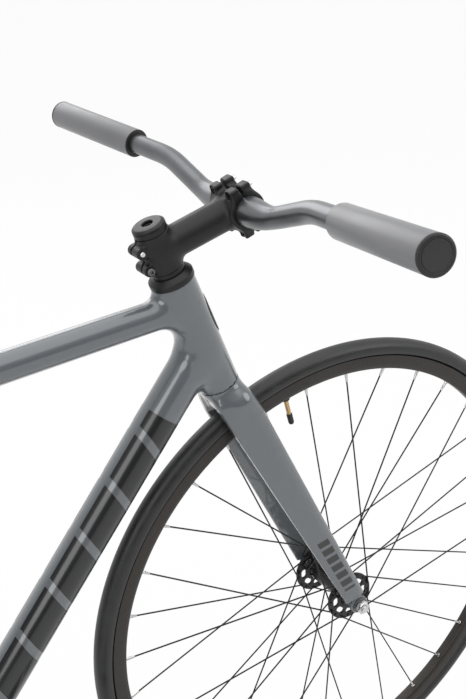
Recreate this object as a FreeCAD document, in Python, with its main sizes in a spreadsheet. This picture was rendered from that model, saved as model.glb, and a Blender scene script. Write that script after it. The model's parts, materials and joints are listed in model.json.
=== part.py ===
import FreeCAD, Part
import math
import os
import re
import Sketcher

# A fixed gear bike: frame, fork, bars, two spoked wheels, one-speed chain drive, saddle.
# Millimetres; +X forward, +Y left, +Z up; origin on the ground midway between the axles.

os.makedirs("parts", exist_ok=True)
document = FreeCAD.newDocument("fixed_gear_bike")
Vector = FreeCAD.Vector
left = Vector(0, 1, 0)
right = Vector(0, -1, 0)
vertical = Vector(0, 0, 1)
forward = Vector(1, 0, 0)

# Driving sizes: name, value, meaning. Angles are in degrees.
driving_sizes = [
    # fits shared by the pieces
    ("fit_gap", 0.02, "gap of pieces clamped on each other"),
    ("running_gap", 0.05, "gap of a turning fit"),
    ("side_gap", 0.4, "gap beside a turning face"),
    # frame geometry
    ("head_angle", 72.4, "steering axis above the horizon"),
    ("seat_angle", 74.5, "seat tube above the horizon"),
    ("toe_clearance", 217, "bottom bracket behind the front tyre, along the ground"),
    ("bracket_drop", 55, "bottom bracket below the axles"),
    ("head_tube_length", 137.4, "head tube, end to end"),
    ("head_tube_radius", 23, "head tube outside"),
    ("top_tube_radius", 15.9, "top tube outside"),
    ("top_tube_height", 103, "top tube axis above the head tube's foot"),
    ("top_tube_drop", 18, "fall of the top tube to the seat tube"),
    ("down_tube_radius", 22, "down tube outside"),
    ("down_tube_height", 51.5, "down tube axis above the head tube's foot"),
    ("seat_tube_radius", 15.9, "seat tube outside"),
    ("seat_tube_rise", 40.2, "seat tube above the top tube axis"),
    ("tube_wall", 1.8, "wall of the main tubes"),
    ("shell_radius", 23, "bottom bracket shell outside"),
    ("shell_bore", 17.4, "bottom bracket shell inside"),
    ("shell_width", 68, "bottom bracket shell, end to end"),
    # rear triangle
    ("chain_stay_radius", 9, "chain stay at the shell"),
    ("chain_stay_spread", 19, "chain stay centre from the middle at the shell"),
    ("stay_end_radius", 7, "stays where they meet the track ends"),
    ("seat_stay_radius", 8, "seat stay at the seat tube"),
    ("seat_stay_spread", 15, "seat stay centre from the middle at the seat tube"),
    ("seat_stay_drop", 30, "seat stay centre below the top tube on the seat tube"),
    ("bridge_radius", 7, "brake bridge outside"),
    ("bridge_clearance", 24, "bridge centre outside the rear tyre"),
    ("rear_spacing", 120, "between the track ends"),
    ("track_end_thickness", 6.5, "track end plate"),
    ("track_end_radius", 15, "track end plate around the axle"),
    ("track_slot_length", 24, "axle slot behind the axle"),
    ("stay_tail", 30, "stay end ahead of the axle"),
    # seat clamp
    ("seat_clamp_wall", 3.5, "seat clamp ring wall"),
    ("seat_clamp_height", 15, "seat clamp ring height"),
    ("seat_clamp_slit", 2.4, "slit of the clamp"),
    ("seat_clamp_lip", 2, "seat clamp above the seat tube"),
    ("clamp_bolt_radius", 2.5, "small clamping bolts"),
    ("clamp_bolt_head", 4.2, "heads of the small clamping bolts"),
    # headset
    ("crown_gap", 0.6, "seam between fork crown and head tube"),
    ("headset_bearing_radius", 20.9, "headset bearing outside"),
    ("headset_bearing_bore", 15.1, "headset bearing inside"),
    ("headset_bearing_depth", 7, "headset bearing height"),
    ("cover_radius", 23.4, "headset cover at its foot"),
    ("cover_skirt", 4.5, "straight skirt of the cover"),
    ("cover_height", 9.5, "headset cover height"),
    ("cover_top_radius", 18.6, "headset cover at its top"),
    ("spacer_radius", 17.4, "headset spacer outside"),
    ("spacer_height", 5, "headset spacer height"),
    # fork
    ("crown_clearance", 33, "fork crown above the tyre, along the steering axis"),
    ("fork_offset", 32, "axle ahead of the steering axis"),
    ("steerer_radius", 14.3, "steerer outside"),
    ("steerer_wall", 1.8, "steerer wall"),
    ("steerer_inset", 3, "steerer below the stem's top"),
    ("crown_height", 24, "fork crown height"),
    ("crown_half_width", 36, "fork crown half width at the blades"),
    ("blade_chord", 44, "fork blade, front to back, near the crown"),
    ("blade_thickness", 19, "fork blade, side to side, near the crown"),
    ("blade_tip_chord", 28, "fork blade, front to back, at its end"),
    ("blade_tip_thickness", 11, "fork blade, side to side, at its end"),
    ("blade_tail_share", 0.45, "width of the blade's flat tail over its thickness"),
    ("blade_spread", 27.5, "blade centre from the middle beside the tyre"),
    ("front_spacing", 100, "between the fork ends"),
    ("fork_end_thickness", 7, "fork end plate"),
    ("fork_end_radius", 12, "fork end plate around the axle"),
    ("brake_hole_radius", 3.2, "brake holes of crown and bridge"),
    # stem
    ("stem_length", 96.1, "steering axis to bar"),
    ("stem_drop", 5.9, "bar below the middle of the stem clamp"),
    ("stem_height", 42, "stem clamp on the steerer"),
    ("stem_clamp_radius", 18, "stem clamp outside"),
    ("stem_tube_radius", 17, "stem extension outside"),
    ("stem_slit", 1.8, "slit behind the steerer"),
    ("stem_lug_radius", 6, "lugs of the stem's clamping bolts"),
    ("stem_lug_width", 22, "lugs, side to side"),
    ("bar_clamp_radius", 20.4, "bar clamp outside"),
    ("bar_clamp_width", 44, "bar clamp width"),
    ("bar_clamp_gap", 3, "gap between stem and faceplate"),
    ("bar_ear_width", 11, "bolt ears of the bar clamp"),
    ("bar_ear_spread", 14, "bolt ears from the middle"),
    ("bar_bolt_height", 22.4, "faceplate bolts above and below the bar axis"),
    ("bar_ear_depth", 11, "bolt ears, front to back, each side of the gap"),
    ("bar_ear_margin", 0.8, "bolt ears beyond the bolt heads"),
    ("top_cap_radius", 17.5, "stem top cap outside"),
    ("top_cap_height", 10, "stem top cap height"),
    ("top_cap_recess", 4, "depth of the top cap's bolt recess"),
    ("top_cap_slope", 2, "height of the top cap's bevel"),
    ("top_cap_bevel", 3, "width of the top cap's bevel"),
    ("recess_radius", 5, "bolt recess of the top cap"),
    # bar and grips
    ("bar_clamp_section", 15.9, "bar radius in the clamp"),
    ("bar_section", 11.1, "bar radius at the grips"),
    ("bar_centre_half", 27, "thick middle of the bar, half length"),
    ("bar_taper_half", 47, "end of the bar's taper from the middle"),
    ("bar_straight", 11.3, "straight bar between the taper and its bend"),
    ("bar_bend_reach", 136.8, "outer bend from the middle"),
    ("bar_bend_rise", 27, "outer bend above the clamp"),
    ("bar_bend_back", 1.8, "outer bend behind the clamp"),
    ("bar_half_width", 341, "bar end from the middle"),
    ("bar_end_rise", 51.5, "bar end above the clamp"),
    ("bar_end_back", 42.5, "bar end behind the clamp"),
    ("bar_bend_radius", 60, "bends of the bar"),
    ("grip_radius", 16.2, "grip outside"),
    ("grip_length", 149, "grip with its collar"),
    ("grip_collar_length", 3, "grip collar"),
    ("grip_collar_radius", 16.2, "grip collar outside"),
    ("grip_cap_thickness", 3, "plate of the grip's end cap"),
    # wheels
    ("wheel_radius", 336, "tyre tread from the axle"),
    ("tyre_section_radius", 12.5, "tyre section"),
    ("bead_overlap", 1, "tyre beads inside the tyre's round"),
    ("rim_flange_height", 6, "rim edge above the bead seat"),
    ("rim_depth", 12.5, "bead seat to the rim face towards the hub"),
    ("rim_half_width", 10, "rim half width"),
    ("rim_inner_half", 6.5, "half width of the rim face towards the hub"),
    ("rim_flange_wall", 1.9, "rim flange"),
    ("spoke_count", 32, "spokes of a wheel"),
    ("spoke_crosses", 3, "spokes crossed on each side"),
    ("spoke_radius", 1, "spoke section"),
    ("nipple_width", 3.4, "across the nipple's flats"),
    ("nipple_length", 12, "nipple below the rim"),
    ("nipple_gap", 0.35, "nipple seat below the rim"),
    ("valve_radius", 2.9, "valve stem"),
    ("valve_reach", 38, "valve stem below the rim"),
    ("valve_nut_radius", 5.5, "valve collar"),
    ("valve_nut_height", 3, "valve collar height"),
    ("valve_cap_radius", 3.5, "valve cap"),
    ("valve_cap_length", 15, "valve cap length"),
    ("front_valve_angle", 101, "front valve from straight ahead"),
    ("rear_valve_angle", 60, "rear valve from straight ahead"),
    # hubs
    ("hub_flange_radius", 32.5, "hub flange"),
    ("hub_hole_radius", 29.4, "ring of spoke holes"),
    ("hub_flange_half", 1.5, "half thickness of a flange"),
    ("hub_body_radius", 13.5, "hub between the flanges"),
    ("hub_boss_radius", 14, "hub outside the flanges"),
    ("front_flange_spread", 35, "front flange from the middle"),
    ("front_hub_half", 42, "front hub half length"),
    ("rear_flange_spread", 31, "rear flange from the middle"),
    ("rear_hub_left", 48, "left end of the rear hub"),
    ("rear_hub_right", 48, "right end of the rear hub"),
    ("cutout_count", 8, "openings in a flange"),
    ("cutout_ring", 21.4, "ring of flange openings"),
    ("cutout_half_length", 6.2, "half length of a flange opening"),
    ("cutout_half_width", 3.6, "half width of a flange opening"),
    ("front_axle_radius", 4.5, "front axle"),
    ("rear_axle_radius", 5, "rear axle"),
    ("locknut_radius", 8.5, "axle locknuts"),
    ("washer_radius", 10, "flange of the axle nuts"),
    ("washer_height", 1.6, "flange height of the axle nuts"),
    ("nut_flats", 15, "axle nuts across flats"),
    ("nut_height", 8, "axle nut height without its flange"),
    ("front_axle_end", 2.5, "front axle beyond its nut"),
    ("rear_axle_end", 8, "rear axle beyond its nut"),
    ("front_axle_tip", 2, "turned tip of the front axle"),
    ("rear_axle_tip", 7, "turned tip of the rear axle"),
    ("axle_tip_step", 0.2, "tip below the axle's surface"),
    # chain drive
    ("chain_pitch", 12.7, "between chain pins"),
    ("ring_teeth", 48, "chainring teeth"),
    ("cog_teeth", 16, "cog teeth"),
    ("ring_wrap", 27, "links on the chainring"),
    ("cog_wrap", 7, "links on the cog"),
    ("stay_clearance", 52, "least straight run of chain beyond the tyre radius"),
    ("chain_line", 42, "chain from the middle of the bike"),
    ("tooth_thickness", 2.9, "sprocket thickness"),
    ("tooth_seat_radius", 4.4, "roller seat between teeth"),
    ("tooth_tip_height", 3.3, "tooth tip beyond the pitch circle"),
    ("tooth_tip_half", 1, "half width of a tooth tip"),
    ("roller_radius", 3.85, "chain roller"),
    ("chain_inner_half", 1.75, "half gap between inner plates"),
    ("plate_thickness", 1.2, "chain plates"),
    ("plate_half_height", 4.2, "half height of a chain plate"),
    ("ring_inner_radius", 64, "chainring opening"),
    ("ring_bolt_circle", 72, "chainring bolts from the centre"),
    ("cog_bore", 17.35, "cog bore"),
    ("cog_shoulder_radius", 20, "hub shoulder beside the cog"),
    ("lockring_height", 4, "cog lockring"),
    ("lockring_radius", 21, "cog lockring outside"),
    # cranks and pedals
    ("crank_length", 165, "bracket axis to pedal axis"),
    ("crank_rest_angle", 0, "right crank above straight ahead"),
    ("spindle_radius", 8.5, "spindle in its cups"),
    ("spindle_square", 12.6, "square of the spindle ends"),
    ("spindle_half", 53, "spindle half length"),
    ("cup_depth", 14, "cup inside the shell"),
    ("cup_lip", 1.5, "cup outside the shell"),
    ("boss_radius", 17, "crank boss"),
    ("boss_inner", 38, "inner end of the crank boss from the middle"),
    ("boss_outer", 57, "outer end of the crank boss from the middle"),
    ("crank_width", 22, "crank arm near the boss"),
    ("crank_end_width", 18, "crank arm near the pedal"),
    ("crank_thickness", 12, "crank arm thickness"),
    ("crank_flare", 12, "crank end outside the boss"),
    ("eye_radius", 13, "crank eye for the pedal"),
    ("spider_arms", 5, "chainring bolts"),
    ("spider_width", 15, "spider arm width"),
    ("spider_thickness", 5, "spider arm thickness"),
    ("pedal_axle_radius", 7, "pedal axle"),
    ("pedal_start", 9, "pedal body outside the crank"),
    ("pedal_width", 92, "pedal body along its axle"),
    ("pedal_length", 84, "pedal body, front to back"),
    ("pedal_thickness", 16, "pedal body thickness"),
    ("pedal_barrel_radius", 11.5, "pedal barrel"),
    ("pedal_bar", 10, "bars around the pedal's openings"),
    ("pedal_end_wall", 1.5, "closed end of the pedal barrel"),
    ("pedal_axle_inset", 2, "pedal axle short of the pedal's end"),
    ("window_margin", 2, "pedal opening beside the barrel"),
    # seatpost and saddle
    ("seatpost_radius", 13.6, "seatpost outside"),
    ("seatpost_wall", 2, "seatpost wall"),
    ("seatpost_plug", 12, "solid top of the seatpost"),
    ("seatpost_insert", 135, "seatpost inside the frame"),
    ("seatpost_show", 108, "seatpost above the frame"),
    ("post_head_half_width", 17, "seatpost head half width"),
    ("post_head_half_length", 19, "seatpost head half length"),
    ("post_head_height", 20, "seatpost head height"),
    ("post_head_lip", 6, "seatpost head beside the round seat"),
    ("post_head_round", 5, "rounding of the seatpost head"),
    ("tilt_radius", 30, "round seat of the saddle clamp"),
    ("rail_radius", 3.5, "saddle rail"),
    ("rail_spread", 22, "saddle rail from the middle in the clamp"),
    ("rail_depth", 12, "rail centre below the tilt axis"),
    ("clamp_half_length", 17, "saddle clamp half length"),
    ("clamp_half_width", 28, "saddle clamp half width"),
    ("clamp_top", 3, "clamp top below the tilt axis"),
    ("clamp_split", 0.5, "half gap between the clamp plates"),
    ("rail_tail_spread", 34, "rail end from the middle at the tail"),
    ("rail_tail_bend", 27, "rail bend from the middle near the tail"),
    ("rail_tail_rise", 4, "rail bend above the clamp near the tail"),
    ("rail_nose_bend", 14, "rail bend from the middle near the nose"),
    ("rail_nose_rise", 14, "rail bend above the clamp near the nose"),
    ("rail_nose_spread", 9, "rail end from the middle at the nose"),
    ("saddle_length", 272, "saddle, nose to tail"),
    ("saddle_half_width", 70, "saddle half width at the tail"),
    ("saddle_nose_half", 19, "saddle half width at the nose"),
    ("saddle_setback", 118, "saddle tail behind the tilt axis"),
    ("saddle_rise", 22, "underside of the saddle shell above the tilt axis"),
    ("saddle_shell", 5, "saddle shell"),
    ("saddle_pad", 26, "saddle padding at the tail"),
    ("saddle_gap", 0.3, "padding above the shell"),
]

# Sizes that follow from the driving ones
derived_sizes = [
    ("tyre_centre_radius", "=wheel_radius - tyre_section_radius", "tyre section centre from the axle"),
    ("rim_seat_radius", "=wheel_radius - 2 * tyre_section_radius", "bead seat of the rim"),
    ("rim_outer_radius", "=rim_seat_radius + rim_flange_height", "rim edge"),
    ("rim_inner_radius", "=rim_seat_radius - rim_depth", "rim face towards the hub"),
    ("fork_length", "=wheel_radius + crown_clearance", "axle to crown along the steering axis"),
    ("front_centre", "=wheel_radius + toe_clearance", "bottom bracket to front axle, along the ground"),
    ("chain_run", "=ceil((wheel_radius + stay_clearance) / chain_pitch)", "links of a straight run"),
]

sheet = document.addObject("Spreadsheet::Sheet", "Sizes")
for row, (alias, value, meaning) in enumerate(driving_sizes + derived_sizes, start=1):
    sheet.set("A%d" % row, alias)
    sheet.set("B%d" % row, str(value))
    sheet.set("C%d" % row, meaning)
    sheet.setAlias("B%d" % row, alias)
document.recompute()


def size(alias):
    return float(getattr(sheet, alias))


def formula(text):
    return re.sub(r"[a-z_]+", lambda word: "Sizes." + word.group(), text)


def number(text):
    return float(sheet.evalExpression(formula(text)))


def bind(thing, **settings):
    for name, text in settings.items():
        thing.setExpression(name, formula(text))
    return thing


def placed(origin, z_axis, x_axis):
    return FreeCAD.Placement(origin, FreeCAD.Rotation(x_axis, Vector(), z_axis, "ZXY"))


def origin_plane(body, role):
    return next(plane for plane in body.Origin.OriginFeatures if plane.Role == role)


def outline_sketch(body, label, plane, outline):
    sketch = body.newObject("Sketcher::SketchObject", label)
    sketch.AttachmentSupport = [(origin_plane(body, plane), "")]
    sketch.MapMode = "FlatFace"
    corners = [Vector(number(across), number(along), 0) for across, along in outline]
    count = len(corners)
    for index in range(count):
        sketch.addGeometry(Part.LineSegment(corners[index], corners[(index + 1) % count]))
    for index in range(count):
        sketch.addConstraint(Sketcher.Constraint("Coincident", index, 2, (index + 1) % count, 1))
        for kind, text, value in zip(("DistanceX", "DistanceY"), outline[index], corners[index]):
            rule = sketch.addConstraint(Sketcher.Constraint(kind, -1, 1, index, 1, value))
            sketch.setExpression("Constraints[%d]" % rule, formula(text))
    return sketch


def turned(label, outline, place):
    # a body turned about its own Z axis; outline gives radius and height of each corner
    body = document.addObject("PartDesign::Body", label)
    turn = body.newObject("PartDesign::Revolution", label + "_turn")
    sketch = outline_sketch(body, label + "_outline", "XZ_Plane", outline)
    turn.Profile = sketch
    turn.ReferenceAxis = (sketch, ["V_Axis"])
    turn.Angle = 360
    body.Tip = turn
    body.Placement = place
    return body


def cylinder(label, radius, height, place):
    piece = document.addObject("Part::Cylinder", label)
    bind(piece, Radius=radius, Height=height)
    piece.Placement = place
    return piece


def ring(label, inner, outer, foot, top, place):
    return turned(label, [(inner, foot), (outer, foot), (outer, top), (inner, top)], place)


def feature(label, shape):
    piece = document.addObject("Part::Feature", label)
    piece.Shape = shape
    return piece


def cut(label, base, *tools):
    for index, tool in enumerate(tools):
        piece = document.addObject("Part::Cut", label if index == len(tools) - 1 else label + "_cut")
        piece.Base = base
        piece.Tool = tool
        base = piece
    return base


def fused(label, *pieces):
    piece = document.addObject("Part::MultiFuse", label)
    piece.Shapes = list(pieces)
    piece.Refine = True
    return piece


def group(label, *pieces):
    piece = document.addObject("Part::Compound", label)
    piece.Links = list(pieces)
    return piece


def mirrored(piece):
    other = document.addObject("Part::Mirroring", piece.Name + "_left")
    other.Source = piece
    other.Normal = left
    return other


def both_sides(label, piece, *more):
    return group(label, piece, mirrored(piece), *more)


nodes = {}


def node(piece, name):
    piece.Label = name
    nodes[name] = piece
    return piece


def polar(radius, degrees, height=0.0):
    angle = math.radians(degrees)
    return Vector(radius * math.cos(angle), radius * math.sin(angle), height)


def polygon_wire(centre, normal, start, radius, sides):
    # regular polygon around a centre; its first corner lies towards start
    first = (start - normal * start.dot(normal)).normalize()
    second = normal.cross(first)
    turns = [2 * math.pi * k / sides for k in range(sides + 1)]
    return Part.makePolygon([centre + (first * math.cos(t) + second * math.sin(t)) * radius for t in turns])


def prism(start, end, radius, sides):
    axis = (end - start).normalize()
    side = axis.cross(vertical if abs(axis.z) < 0.9 else forward)
    wire = polygon_wire(start, axis, side, radius, sides)
    return Part.Face(wire).extrude(end - start)


def hexagon_radius(flats):
    return flats / math.sqrt(3)


# Layout of the chain: its closed length sets how far the rear axle sits behind the bracket.
pitch = size("chain_pitch")
ring_pitch_radius = pitch / (2 * math.sin(math.pi / size("ring_teeth")))
cog_pitch_radius = pitch / (2 * math.sin(math.pi / size("cog_teeth")))
ring_last = 180 - 180 * size("ring_wrap") / size("ring_teeth")
cog_last = 180 * size("cog_wrap") / size("cog_teeth")
ring_leave = polar(ring_pitch_radius, ring_last)
cog_leave = polar(cog_pitch_radius, cog_last)
run_length = pitch * size("chain_run")
run_level = math.sqrt(run_length ** 2 - (ring_leave.y - cog_leave.y) ** 2)
chain_stay_length = run_level + ring_leave.x - cog_leave.x

# Main points of the bike
wheel_radius = size("wheel_radius")
stay_level = math.sqrt(chain_stay_length ** 2 - size("bracket_drop") ** 2)
wheelbase = size("front_centre") + stay_level
front_axle_point = Vector(wheelbase / 2, 0, wheel_radius)
rear_axle_point = Vector(-wheelbase / 2, 0, wheel_radius)
bracket_point = rear_axle_point + Vector(stay_level, 0, -size("bracket_drop"))
head_angle = math.radians(size("head_angle"))
seat_angle = math.radians(size("seat_angle"))
steer_up = Vector(-math.cos(head_angle), 0, math.sin(head_angle))
steer_ahead = Vector(math.sin(head_angle), 0, math.cos(head_angle))
seat_up = Vector(-math.cos(seat_angle), 0, math.sin(seat_angle))
seat_back = Vector(-math.sin(seat_angle), 0, -math.cos(seat_angle))
steer_foot = front_axle_point - steer_ahead * size("fork_offset")


def steer_point(height, ahead=0.0, aside=0.0):
    return steer_foot + steer_up * height + steer_ahead * ahead + left * aside


def steer_place(height, ahead=0.0):
    return placed(steer_point(height, ahead), steer_up, steer_ahead)


def across_place(point):
    return placed(point, left, forward)


head_foot = size("fork_length") + size("crown_gap")
head_top = head_foot + size("head_tube_length")
down_start = steer_point(head_foot + size("down_tube_height"))
top_start = steer_point(head_foot + size("top_tube_height"))
top_end_height = top_start.z - size("top_tube_drop")
top_end = bracket_point + seat_up * ((top_end_height - bracket_point.z) / seat_up.z)
seat_top = top_end + seat_up * size("seat_tube_rise")


def tube_between(label, start, end, outer, inner):
    # hollow tube with square ends, and the solid outside of it
    axis = end - start
    place = placed(start, axis, left)
    outside = document.addObject("Part::Cylinder", label + "_outside")
    bind(outside, Radius=outer)
    outside.Height = axis.Length
    outside.Placement = place
    inside = document.addObject("Part::Cylinder", label + "_inside")
    bind(inside, Radius=inner)
    inside.Height = axis.Length
    inside.Placement = place
    return cut(label + "_tube", outside, inside), outside


# Main frame: head tube, shell and seat tube are turned; the others are mitred to them.
node(ring("head_tube", "headset_bearing_radius + fit_gap", "head_tube_radius", "0", "head_tube_length",
          steer_place(head_foot)), "head_tube")
head_outside = cylinder("head_outside", "head_tube_radius", "head_tube_length", steer_place(head_foot))

shell_place = across_place(bracket_point)
shell = ring("bottom_bracket_shell", "shell_bore", "shell_radius",
             "-shell_width / 2", "shell_width / 2", shell_place)
node(shell, "bottom_bracket_shell")
shell_outside = cylinder("shell_outside", "shell_radius", "shell_width",
                         across_place(bracket_point + right * size("shell_width") / 2))

down_tube, down_outside = tube_between(
    "down", down_start, bracket_point, "down_tube_radius", "down_tube_radius - tube_wall")
node(cut("down_tube", down_tube, head_outside, shell_outside), "down_tube")

seat_tube, seat_outside = tube_between(
    "seat", bracket_point, seat_top, "seat_tube_radius", "seatpost_radius + running_gap")
seat_slit = document.addObject("Part::Box", "seat_slit")
bind(seat_slit, Length="2 * seat_tube_radius", Width="seat_clamp_slit", Height="3 * seat_clamp_height")
seat_slit.Placement = placed(
    seat_top - seat_up * 2 * size("seat_clamp_height") + right * size("seat_clamp_slit") / 2, seat_up, seat_back)
node(cut("seat_tube", seat_tube, shell_outside, down_outside, seat_slit), "seat_tube")

top_tube, top_outside = tube_between(
    "top", top_start, top_end, "top_tube_radius", "top_tube_radius - tube_wall")
node(cut("top_tube", top_tube, head_outside, seat_outside), "top_tube")

# Rear triangle: slotted track ends, oval chain stays, round seat stays and their bridge.
stay_ahead = (bracket_point - rear_axle_point).normalize()
stay_side = size("rear_spacing") / 2 + size("track_end_thickness") / 2
seat_stay_top = top_end - seat_up * size("seat_stay_drop") + right * size("seat_stay_spread")
seat_stay_ahead = (seat_stay_top + left * size("seat_stay_spread") - rear_axle_point).normalize()


def stay_tail_point(ahead):
    return rear_axle_point + right * stay_side + ahead * size("stay_tail")


def track_end_shape():
    # plate round the axle with two tongues into the stays and a slot open to the rear
    half = size("track_end_thickness") / 2
    slot_half = size("rear_axle_radius") + size("running_gap")
    tongue_half = size("stay_end_radius") * 0.8
    base = rear_axle_point + right * (stay_side + half)
    depth = left * 2 * half
    plate = Part.makeCylinder(size("track_end_radius"), 2 * half, base, left)
    tail = Part.makeBox(size("track_slot_length"), 2 * half, 2 * size("track_end_radius"))
    tail.translate(base + Vector(-size("track_slot_length"), 0, -size("track_end_radius")))
    tongues = []
    for ahead in (stay_ahead, seat_stay_ahead):
        up = Vector(-ahead.z, 0, ahead.x) * tongue_half
        end = base + ahead * (size("stay_tail") + size("track_end_radius"))
        wire = Part.makePolygon([base + up, base - up, end - up, end + up, base + up])
        tongues.append(Part.Face(wire).extrude(depth))
    slot = Part.makeBox(size("track_slot_length") + size("track_end_radius"), 2 * half, 2 * slot_half)
    slot.translate(base + Vector(-size("track_slot_length") - size("track_end_radius"), 0, -slot_half))
    slot_end = Part.makeCylinder(slot_half, 2 * half, base, left)
    solid = plate.fuse([tail] + tongues).removeSplitter()
    return solid.cut([slot, slot_end])


right_end = feature("right_track_end", track_end_shape())
node(both_sides("track_ends", right_end), "track_ends")


def stay(label, start, end, radius):
    # tapered tube of flat facets from the main frame to the track end
    axis = end - start
    foot = polygon_wire(start, axis.normalize(), left, size(radius), 16)
    tail = polygon_wire(end, axis, left, size("stay_end_radius"), 16)
    faces = [Part.Face(foot), Part.Face(tail)]
    for low, high in zip(foot.Edges, tail.Edges):
        a, b = (vertex.Point for vertex in low.Vertexes)
        c, d = (vertex.Point for vertex in high.Vertexes)
        faces.append(Part.Face(Part.makePolygon([a, b, d, c, a])))
    return feature(label, Part.Solid(Part.Shell(faces)))


chain_stay = stay("chain_stay", bracket_point + right * size("chain_stay_spread"), stay_tail_point(stay_ahead),
                  "chain_stay_radius")
right_chain_stay = cut("right_chain_stay", chain_stay, shell_outside, seat_outside, right_end)
node(both_sides("chain_stays", right_chain_stay), "chain_stays")

seat_stay = stay("seat_stay", seat_stay_top, stay_tail_point(seat_stay_ahead), "seat_stay_radius")
right_seat_stay = cut("right_seat_stay", seat_stay, seat_outside, top_outside, right_end)
bridge_reach = wheel_radius + size("bridge_clearance")
bridge_point = rear_axle_point + seat_stay_ahead * bridge_reach
bridge = cylinder("bridge", "bridge_radius", "rear_spacing / 2",
                  across_place(bridge_point + right * size("rear_spacing") / 4))
bridge_hole = cylinder("bridge_hole", "brake_hole_radius", "4 * bridge_radius", placed(
    bridge_point + Vector(-seat_stay_ahead.z, 0, seat_stay_ahead.x) * -2 * size("bridge_radius"),
    Vector(-seat_stay_ahead.z, 0, seat_stay_ahead.x), left))
drilled_bridge = cut("drilled_bridge", bridge, seat_stay, mirrored(seat_stay), bridge_hole)
node(both_sides("seat_stays", right_seat_stay, drilled_bridge), "seat_stays")

# Seat clamp: slit ring with two ears
clamp_place = placed(seat_top, seat_up, seat_back)
clamp_ring = ring("clamp_ring", "seat_tube_radius + fit_gap", "seat_tube_radius + seat_clamp_wall",
                  "seat_clamp_lip - seat_clamp_height", "seat_clamp_lip", clamp_place)
clamp_ears = document.addObject("Part::Box", "clamp_ears")
bind(clamp_ears, Length="seat_clamp_wall + 2 * clamp_bolt_head", Width="4 * clamp_bolt_head",
     Height="seat_clamp_height")
clamp_ears.Placement = placed(
    seat_top + seat_back * size("seat_tube_radius") + right * 2 * size("clamp_bolt_head")
    - seat_up * (size("seat_clamp_height") - size("seat_clamp_lip")), seat_up, seat_back)
clamp_bore = cylinder("clamp_bore", "seat_tube_radius + fit_gap", "3 * seat_clamp_height",
                      placed(seat_top - seat_up * 3 * size("seat_clamp_height"), seat_up, seat_back))
clamp_slit = document.addObject("Part::Box", "clamp_slit")
bind(clamp_slit, Length="3 * seat_tube_radius", Width="seat_clamp_slit", Height="3 * seat_clamp_height")
clamp_slit.Placement = placed(
    seat_top - seat_up * 2 * size("seat_clamp_height") + right * size("seat_clamp_slit") / 2, seat_up, seat_back)
node(cut("seat_clamp", fused("clamp_whole", clamp_ring, clamp_ears), clamp_bore, clamp_slit), "seat_clamp")

# Headset: two bearings in the head tube, then cover and spacer on the steerer
lower_bearing = ring("lower_bearing", "headset_bearing_bore", "headset_bearing_radius",
                     "side_gap", "headset_bearing_depth", steer_place(head_foot))
upper_bearing = ring("upper_bearing", "headset_bearing_bore", "headset_bearing_radius",
                     "-headset_bearing_depth", "-side_gap", steer_place(head_top))
node(group("headset_bearings", lower_bearing, upper_bearing), "headset_bearings")
cover = turned("headset_cover", [
    ("steerer_radius + fit_gap", "side_gap - headset_bearing_depth"),
    ("headset_bearing_bore - running_gap", "side_gap - headset_bearing_depth"),
    ("headset_bearing_bore - running_gap", "side_gap"),
    ("cover_radius", "side_gap"),
    ("cover_radius", "cover_skirt"),
    ("cover_top_radius", "cover_height"),
    ("steerer_radius + fit_gap", "cover_height"),
], steer_place(head_top))
node(cover, "headset_cover")
spacer_foot = head_top + size("cover_height")
node(ring("headset_spacer", "steerer_radius + fit_gap", "spacer_radius", "0", "spacer_height",
          steer_place(spacer_foot)), "headset_spacer")
stem_foot = spacer_foot + size("spacer_height")
stem_top = stem_foot + size("stem_height")
stem_middle = stem_foot + size("stem_height") / 2

# Fork: steerer, crown and two blades with a rounded front and a flat tail
steerer_length = stem_top - size("fork_length") - size("steerer_inset")
steerer = document.addObject("Part::Cylinder", "steerer_outside")
bind(steerer, Radius="steerer_radius")
steerer.Height = steerer_length
steerer.Placement = steer_place(size("fork_length"))
steerer_bore = document.addObject("Part::Cylinder", "steerer_bore")
bind(steerer_bore, Radius="steerer_radius - steerer_wall")
steerer_bore.Height = steerer_length
steerer_bore.Placement = steer_place(size("fork_length"))
node(cut("fork_steerer", steerer, steerer_bore), "fork_steerer")


def blade_section(height, aside, chord, thickness):
    # rounded nose of two arcs, straight flanks and a flat tail, square to the steering axis
    ahead = size("fork_offset") * (1 - height / size("fork_length"))
    nose = chord / 2
    tail_half = thickness * size("blade_tail_share") / 2
    half = thickness / 2
    widest = chord * 0.18

    def spot(along, across):
        return steer_point(height, ahead + along, -aside + across)

    points = [spot(-nose, tail_half), spot(widest, half), spot(nose, 0)]
    points += [spot(widest, -half), spot(-nose, -tail_half)]
    bulge = widest + (nose - widest) * 0.72
    edges = [
        Part.LineSegment(points[0], points[1]).toShape(),
        Part.Arc(points[1], spot(bulge, half * 0.69), points[2]).toShape(),
        Part.Arc(points[2], spot(bulge, -half * 0.69), points[3]).toShape(),
        Part.LineSegment(points[3], points[4]).toShape(),
        Part.LineSegment(points[4], points[0]).toShape(),
    ]
    return Part.Wire(edges)


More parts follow.
